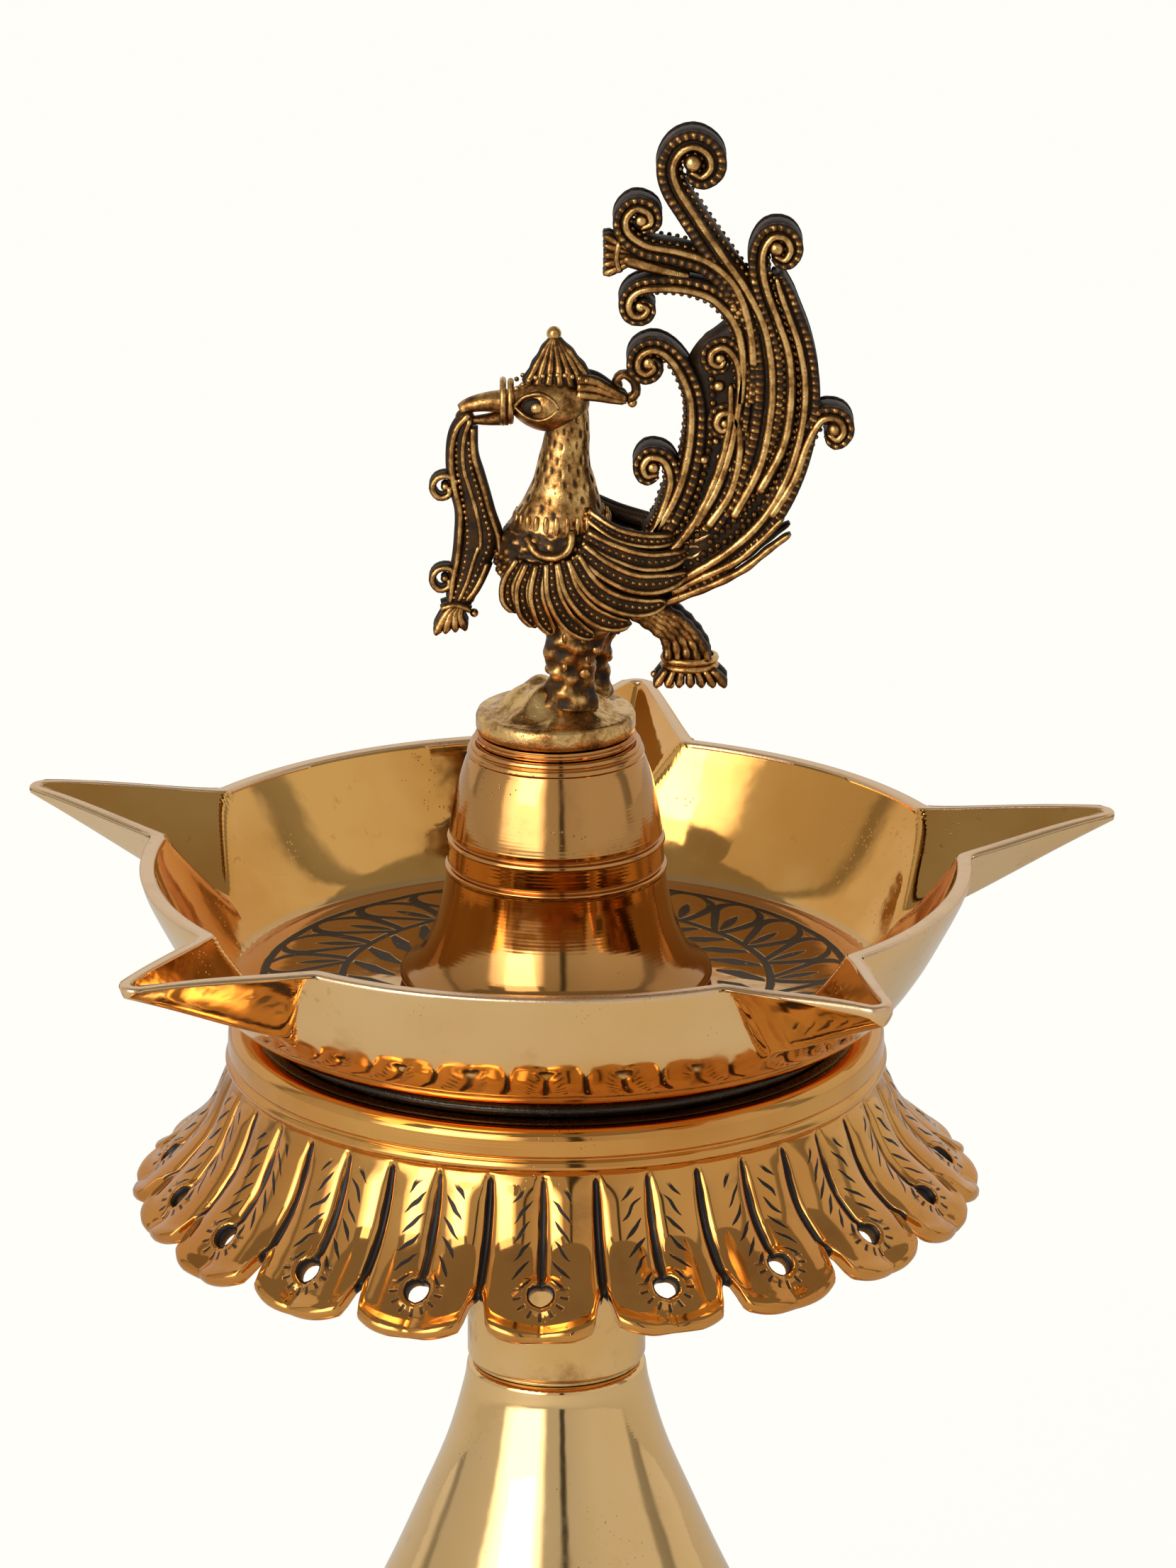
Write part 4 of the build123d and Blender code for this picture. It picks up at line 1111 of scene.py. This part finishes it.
def swanHead():
    # an egg that narrows towards the beak, two rings and the two halves of the beak, then eyes, crest and the
    # crest's curled tail
    skullX, skullZ, skullLong = -1.0, 53.2, 6.3
    skull = ball((skullX, 0, skullZ), (skullLong, 4.5, 4.5), 36, 22, 0.75)
    verts = skull[0]
    front = np.clip((skullX - verts[:, 0]) / skullLong, 0, 1)
    verts[:, 1] *= 1 - 0.3 * front ** 2
    verts[:, 2] = skullZ + (verts[:, 2] - skullZ) * (1 - 0.18 * front ** 2)
    parts = [skull]
    turn = np.arange(28) / 28 * tau
    for x, size in ((-6.9, 3.2), (-8.1, 3.4)):
        outward = np.stack([0 * turn, 0.82 * np.sin(turn), np.cos(turn)], -1)
        parts.append(hoop([x, 0, 53.4] + size * outward, outward, (1, 0, 0), 0.48, 0.85))
    beakTop = ray([(-7.4, 53.4), (-10.6, 53.3), (-13.2, 52.8), (-14.6, 52.0)], 0.0, 18)
    parts.append(strand(beakTop, np.linspace(1.9, 1.0, 18), np.linspace(2.3, 1.2, 18), 14, 0, 0.75, 0.75))
    beakLow = ray([(-7.4, 50.9), (-10.5, 50.5), (-13.0, 50.4)], 0.0, 14)
    parts.append(strand(beakLow, np.linspace(1.3, 0.6, 14), np.linspace(1.9, 0.9, 14), 12, 0, 0.6, 0.6))
    for face in (-1, 1):
        y = face * 4.1

        def cheek(x, z):
            return y - face * 0.04 * (x + 1) ** 2

        lid = ray([(-6.3, 53.4), (-4.9, 55.0), (-2.6, 55.7), (-0.6, 54.8), (0.6, 53.2)], cheek)
        low = ray([(-6.3, 53.4), (-4.6, 52.0), (-2.6, 51.4), (-0.8, 52.0), (0.6, 53.2)], cheek)
        parts.append(strand(lid, 0.36, 0.5, 8, face, 0.3, 0.9))
        parts.append(strand(low, 0.3, 0.42, 8, face, 0.3, 0.9))
        parts.append(ball((-2.9, y - face * 0.5, 53.5), (2.2, 0.8, 1.45), 16, 8, 0.02))
        parts.append(ball((-2.9, y + face * 0.1, 53.4), (0.95, 0.75, 0.95), 12, 7, 1.0))
        # crest: fan of ridges over the skull, and the tail that curls behind
        for k, reach in enumerate(np.linspace(-5.8, 7.6, 7)):
            side, far = face * (2.6 - 0.22 * abs(reach)), abs(reach)
            rib = ray([(reach * 0.78, 56.7 - far * 0.1), (reach * 0.55, 59.6 - far * 0.12),
                       (reach * 0.26 - 0.1, 62.2 - far * 0.05), (-0.2, 63.9)],
                      lambda x, z: side * (65.2 - z) / 8.6)
            wave = 1 + 0.15 * np.sin(np.arange(len(rib)) * 1.3 + k)
            parts.append(strand(rib, tapered(len(rib), 0.8, 0.5) * wave, 0.8, 8, face, 0.0, 0.8))
        for lift in (0.0, 1.25, 2.4):
            tailLine = [(3.4, 55.0 + lift), (6.2, 54.6 + lift), (8.8, 54.0 + lift * 0.6),
                        (11.0, 53.6 + lift * 0.3)]
            back = ray(tailLine, lambda x, z: face * (2.3 - 0.14 * x))
            parts.append(strand(back, tapered(len(back), 0.95, 0.6), 1.0, 8, face, 0.25, 0.85))
        browBeads = ray([(-6.0, 56.2), (-3, 57.9), (1, 58.3), (4.8, 57.4)], face * 2.7)
        parts.append(beadRow(browBeads, 0.42, 1.0, 0.9))
    cone = ray([(-0.2, 56.0), (-0.2, 59.6), (-0.2, 63.6)], 0.0, 14)
    parts.append(strand(cone, np.linspace(5.0, 0.9, 14), np.linspace(2.7, 0.9, 14), 18, dark=0.3, bright=0.3))
    parts.append(ball((-0.2, 0, 64.2), (1.15, 1.15, 1.2), 14, 8, 0.95))
    curl = ray([(11.0, 53.7), (12.4, 54.6), (12.2, 56.6), (10.6, 57.8), (9.4, 56.8), (10.2, 55.8)], 0.0)
    parts.append(strand(curl, tapered(len(curl), 0.8, 0.7), 1.2, 10, dark=0.6, bright=0.6))
    parts.append(ball((11.9, 0, 53.2), (0.8, 0.9, 0.8), 10, 6, 0.9))
    return parts


garland = {
    # edges of the plate, the strands on it with their half widths, and the bead rows between them
    "left": [(-14.2, 51.5), (-15.6, 48), (-15.8, 44), (-15.0, 40), (-14.6, 36), (-14.9, 31), (-15.6, 26),
             (-16.8, 21)],
    "right": [(-13.0, 51), (-12.9, 47), (-12.2, 43), (-11.0, 39), (-9.8, 35), (-8.8, 31), (-10.6, 26),
              (-12.8, 21)],
    "strands": [
        ([(-13.4, 51.6), (-15.2, 49.5), (-16.0, 46.8), (-16.1, 43), (-15.6, 39.5), (-14.8, 36), (-14.9, 32),
          (-15.3, 28), (-16.0, 24.8), (-16.4, 21.0)], 0.95),
        ([(-13.2, 50.8), (-14.2, 47.6), (-14.3, 43.6), (-13.4, 40), (-12.4, 36.5), (-11.7, 33), (-11.6, 30)],
         0.8),
        ([(-12.8, 49.4), (-12.7, 45.2), (-11.8, 42), (-10.9, 38.8), (-10.0, 35.4), (-9.0, 32.4), (-8.6, 29.4)],
         0.85),
        ([(-10.6, 27.6), (-11.4, 25.6), (-12.6, 23.2), (-14.0, 21.4)], 0.9),
        ([(-11.9, 30.4), (-12.9, 27.5), (-13.8, 24.5), (-15.2, 21.3)], 0.8),
    ],
    "beadRows": [[(-15.2, 47), (-15.2, 43), (-14.2, 37), (-13.6, 32), (-14.4, 26), (-15.8, 22)],
                 [(-13.4, 47), (-13.0, 43), (-11.9, 39), (-10.9, 35), (-10.2, 31), (-12.2, 26), (-14.2, 22)]],
    "curl": [(1.9, 0.6), (0.6, 1.8), (-1.2, 1.4), (-1.9, -0.2), (-0.9, -1.7), (0.7, -1.3), (0.7, 0)],
    "curlsAt": [(-17.2, 39.9), (-17.3, 25.0)],
}


def swanGarland():
    # the garland that hangs from the beak: a thin plate with strands and beads, two curls at its edge, and a
    # tassel of flutes under a cuff
    parts = [slab(garland["left"], garland["right"], 1.5, 60, 9, 0.35)]
    for line, size in garland["strands"]:
        core = ray(line, 0.0)
        parts.append(strand(core, tapered(len(core), size * 1.05, size), 1.3, 8, dark=0.3, bright=0.36))
        for face in (-1, 1):
            path = ray(line, face * 1.15)
            parts.append(strand(path, tapered(len(path), size * 0.62, size * 0.55), 0.75, 8, face, 0.22, 0.9))
    for face in (-1, 1):
        for line in garland["beadRows"]:
            parts.append(beadRow(ray(line, face * 1.3), 0.42, 0.95, 0.75))
        for x, z in garland["curlsAt"]:
            curl = ray(np.array(garland["curl"]) + [x, z], face * 0.7)
            parts.append(strand(curl, 0.6, 1.1, 8, face, 0.25, 0.92))
            parts.append(ball((x + 0.1, face * 0.8, z), (0.7, 0.7, 0.7), 10, 6, 0.9, face))
        for k, x in enumerate((-18.7, -17.2, -15.6, -14.0)):
            flute = ray([(-15.8 + 0.4 * k, 21.0), (x * 0.5 - 7.9, 19.2), (x, 16.2 + 0.25 * k)], face * 1.2)
            parts.append(strand(flute, tapered(len(flute), 0.7, 0.95, 0.4, 0.2), 1.3, 8, face, 0.22, 0.9))
        cuff = ray([(-17.8, 20.4), (-15.6, 21.0), (-13.2, 20.2)], face * 1.5)
        parts.append(strand(cuff, 0.6, 1.1, 8, face, 0.25, 0.92))
    parts.append(ball((-12.7, 0, 19.2), (0.7, 0.8, 0.7), 10, 6, 0.9))
    parts.append(ball((-14.0, 0, 50.9), (1.5, 1.6, 1.3), 14, 8, 0.5))
    return parts


def swanLegs():
    # two lumpy legs, each a bar whose skin moves by a sum of three waves round and along it, with loose lumps
    rng = np.random.default_rng(3)
    parts = []
    for face, shift in ((-1, 0.0), (1, 2.4)):
        line = [(4.2 + shift, 20), (2.6 + shift, 14.5), (2.3 + shift, 10), (2.0 + shift, 5.4)]
        leg = ray(line, face * 3.4, 56)
        size = np.interp(leg[:, 2], [5, 7, 9, 11, 14, 20], [5.2, 4.3, 3.5, 3.6, 4.2, 5.0])
        lumpy = strand(leg, size, size * 0.8, 44, dark=0.6, bright=0.6)
        spots, marks = lumpy[0], lumpy[3]
        turn = np.arctan2(spots[:, 1] - face * 3.4, spots[:, 0] - 2.6 - shift)
        waves = (np.sin(3 * turn + 0.8 * spots[:, 2]) + 0.8 * np.sin(5 * turn - 1.5 * spots[:, 2] + face)
                 + 0.7 * np.sin(2 * turn + 2.3 * spots[:, 2]))
        spots[:, :2] += 0.22 * waves[:, None] * np.stack([np.cos(turn), np.sin(turn)], -1)
        marks[:, 0] = 0.6 + 0.17 * waves
        parts.append(lumpy)
        for lump in range(14):
            turn = rng.uniform(0, tau)
            level = rng.uniform(9.6, 18.5)
            reach = np.interp(level, [9, 11, 14, 20], [3.3, 3.4, 4.0, 4.8])
            x = 2.6 + shift + (level - 12) * 0.15 + reach * np.cos(turn)
            spot = (x, face * 3.4 + reach * 0.8 * np.sin(turn), level)
            parts.append(ball(spot, rng.uniform(0.5, 0.9, 3) * [1, 0.8, 1.4], 8, 5, rng.uniform(0.6, 0.95)))
    return parts + swanRump()


def swanRump():
    # the tuft behind the legs: five bowed ribs, two bands round them and seven flutes below
    parts = []
    for face in (-1, 1):
        for k, offset in enumerate(np.linspace(-1, 1, 5)):
            line = [(13.6 + 1.6 * offset, 20.4 + 0.6 * offset), (17.2 + 2.0 * offset, 18.2 + 0.7 * offset),
                    (19.8 + 2.6 * offset, 15.4), (20.7 + 3.2 * offset, 12.2)]
            rib = ray(line, face * 2.0)
            beat = 1 + 0.12 * np.sin(np.arange(len(rib)) * 1.7 + k * 2)
            parts.append(strand(rib, tapered(len(rib), 1.0, 0.8) * beat, 1.4 * beat, 8, face, 0.22, 0.78))
        for offset in np.linspace(-1, 1, 7):
            flute = ray([(20.8 + 3.6 * offset, 10.6), (21.0 + 4.8 * offset, 9.0), (21.0 + 5.4 * offset, 7.9)],
                        face * 1.9)
            parts.append(strand(flute, tapered(len(flute), 0.6, 0.95, 0.5, 0.2), 1.5, 8, face, 0.25, 0.85))
    turn = np.arange(40) / 40 * tau
    oval = np.stack([4.0 * np.cos(turn), 3.3 * np.sin(turn), 0 * turn], -1)
    for level in (10.8, 12.0):
        outward = oval / np.linalg.norm(oval, axis=1)[:, None]
        parts.append(hoop(oval + [20.9, 0, level], outward, (0, 0, 1), 0.6, 0.9))
    for x, z in ((15.4, 9.2), (15.9, 7.6), (18.0, 7.4)):
        parts.append(ball((x, 0, z), (0.6, 0.6, 0.6), 8, 5, 0.9))
    return parts


def swanDisc():
    # a round plate whose top swells unevenly towards the legs; its height over the plate is a sum of slow waves
    around, rings = 96, 30
    turn = np.arange(around)[:, None] / around * tau
    bottom = np.array([3.6, 8.0, 11.4, 12.3, 12.5, 12.5, 12.2, 11.6])
    level = np.array([0.0, 0.0, 0.0, 0.3, 1.0, 2.6, 3.3, 3.6])
    top = np.linspace(11.4, 0.3, rings)
    r = np.concatenate([bottom, top])[None]
    mound = 4.2 * smoothStep(11.2 - top, 0, 8.5)
    z = np.concatenate([level, 3.6 + mound])[None]
    fade = np.concatenate([np.zeros(len(bottom)), smoothStep(11.6 - top, 0, 3.0)])[None]
    x, y = r * np.cos(turn), r * np.sin(turn)
    z = z + fade * (0.45 * np.sin(x * 0.9 + 1.0) * np.cos(y * 0.8) + 0.35 * np.sin(x * 0.5 - y * 0.7))
    dent = np.exp(-(((x - 6.5) / 3.0) ** 2 + ((y - 5.5) / 2.4) ** 2))
    z = z - fade * 2.2 * dent
    onTop = np.concatenate([np.zeros(len(bottom)), np.ones(rings)])[None]
    worn = 0.9 + 0.05 * onTop + 0.1 * np.sin(x * 0.7 + y * 0.5) - 0.5 * dent * onTop
    return [shell(np.stack([x, y, z], -1), marks=np.ascontiguousarray(worn))]


swanBrass = antiqueBrass()
foot = (0, 0, birdLow)
for name, parts in (("swanTail", swanTail()), ("swanTailTrim", swanTailTrim()), ("swanBody", swanBody()),
                    ("swanHead", swanHead()), ("swanGarland", swanGarland()), ("swanLegs", swanLegs()),
                    ("swanDisc", swanDisc())):
    makePiece(name, parts, swanBrass, "finial", ["bird_finial"], offset=foot)

# camera
camera = {"lens": 195.3, "pitch": 18.2, "distance": 1335.0, "aside": 5.05, "aboveRim": 12.58}
tilt = np.radians(camera["pitch"])
lensData = bpy.data.cameras.new("studioCamera")
lensData.lens = camera["lens"]
lensData.clip_end = 50
eye = bpy.data.objects.new("studioCamera", lensData)
eye.location = (camera["aside"] * mm, -camera["distance"] * mm * np.cos(tilt),
                (rimLevel + camera["aboveRim"] + camera["distance"] * np.sin(tilt)) * mm)
eye.rotation_euler = (np.pi / 2 - tilt, 0, 0)
bpy.context.scene.collection.objects.link(eye)
bpy.context.scene.camera = eye
print("camera", camera["lens"], "mm lens,", camera["distance"], "mm away")

# floor and surroundings
studio = {
    "floorTone": (0.97, 0.965, 0.945), "floorRings": [0.05, 0.4, 1.5, 6.0], "floorAround": 48,
    "seen": (0.991, 0.983, 0.939), "ceiling": 0.27,
    # bearing from the front in degrees, towards +X, and brightness
    "wall": [(-180, 0.7), (-116, 0.66), (-113, 0.4), (-111, 0.28), (-108, 0.28), (-105, 0.5), (-68, 0.58),
             (-65, 0.6), (-61, 1.9), (-50, 3.0), (-20, 3.0), (-13, 1.2), (-10.5, 0.5), (3, 0.5), (5, 0.06),
             (9, 0.06), (11, 0.5), (40, 0.6), (84, 0.62), (88, 0.30), (97, 0.26), (101, 0.6), (116, 0.64),
             (180, 0.7)],
}


def paleFloor():
    # matt and pale; the camera sees it at one even brightness, and the brass mirrors the plain floor
    f = Finish("paleFloor")
    grain = f.noise(f.place(), 30.0, 3.0)
    tone = f.mix(grain * 0.2, studio["floorTone"], (0.95, 0.945, 0.925))
    seen = f.node("ShaderNodeLightPath")
    tone = f.mix(seen, tone, (0.05, 0.05, 0.05))
    return f.finish({"Base Color": tone, "Roughness": 0.9, "Specular IOR Level": 0.0,
                     "Emission Color": f.mix(seen, (0.0, 0.0, 0.0), studio["seen"]), "Emission Strength": 0.98})


def makeFloor():
    # a flat disc of rings about the lamp's axis, with one face in its middle, turned to face up
    rings, around = np.array(studio["floorRings"]), studio["floorAround"]
    turn = np.arange(around) / around * tau
    points = np.stack([np.outer(np.cos(turn), rings), np.outer(np.sin(turn), rings),
                       np.zeros((around, len(rings)))], -1).reshape(-1, 3)
    faces = gridFaces(around, len(rings), False).reshape(-1, 4).tolist()
    mesh = bpy.data.meshes.new("floor")
    mesh.from_pydata(points.tolist(), [], faces + [list(range(0, len(points), len(rings)))])
    faceOutwards(mesh)
    if mesh.polygons[0].normal.z < 0:
        mesh.flip_normals()
    mesh.materials.append(paleFloor())
    floor = bpy.data.objects.new("floor", mesh)
    bpy.context.scene.collection.objects.link(floor)


def studioTent():
    # a pale tent whose walls are brighter and darker by bearing, with a soft ceiling
    f = Finish("tent", world=True)
    way = f.node("ShaderNodeTexCoord", output=0)
    x, y, z = f.axes(way)
    bearing = f.math("ARCTAN2", x, y * -1.0) / tau + 0.5
    stops = [((a + 180) / 360, (v, v * 0.985, v * 0.955)) for a, v in studio["wall"]]
    walls = f.node("ShaderNodeValToRGB", {"stops": stops}, {0: bearing})
    ceiling = tuple(studio["ceiling"] * c for c in (1.0, 0.98, 0.95))
    boxTop = f.step(f.absolute(bearing - 0.39), 0.075, 0.085) * 0.12 + 0.62
    tone = f.mix(f.step(z, boxTop - 0.03, boxTop), walls, ceiling)
    seen = f.mix(f.node("ShaderNodeLightPath"), tone, studio["seen"])
    bpy.context.scene.world = f.finish({"Color": seen, "Strength": 1.0})


def softBox(name, place, target, size, power):
    # a rectangular light of a size in metres and a power in watts that looks at the target
    light = bpy.data.lights.new(name, "AREA")
    light.shape = "RECTANGLE"
    light.size, light.size_y = size
    light.energy = power
    light.color = (1.0, 0.985, 0.96)
    lamp = bpy.data.objects.new(name, light)
    lamp.location = place
    lamp.rotation_euler = (Vector(target) - Vector(place)).to_track_quat("-Z", "Y").to_euler()
    bpy.context.scene.collection.objects.link(lamp)


makeFloor()
studioTent()
softBox("frontSoftBox", (-0.85, -1.25, 1.05), (0, 0, 0.2), (0.75, 1.1), 6.0)
bpy.context.scene.view_settings.view_transform = "Standard"
print("studio ready")
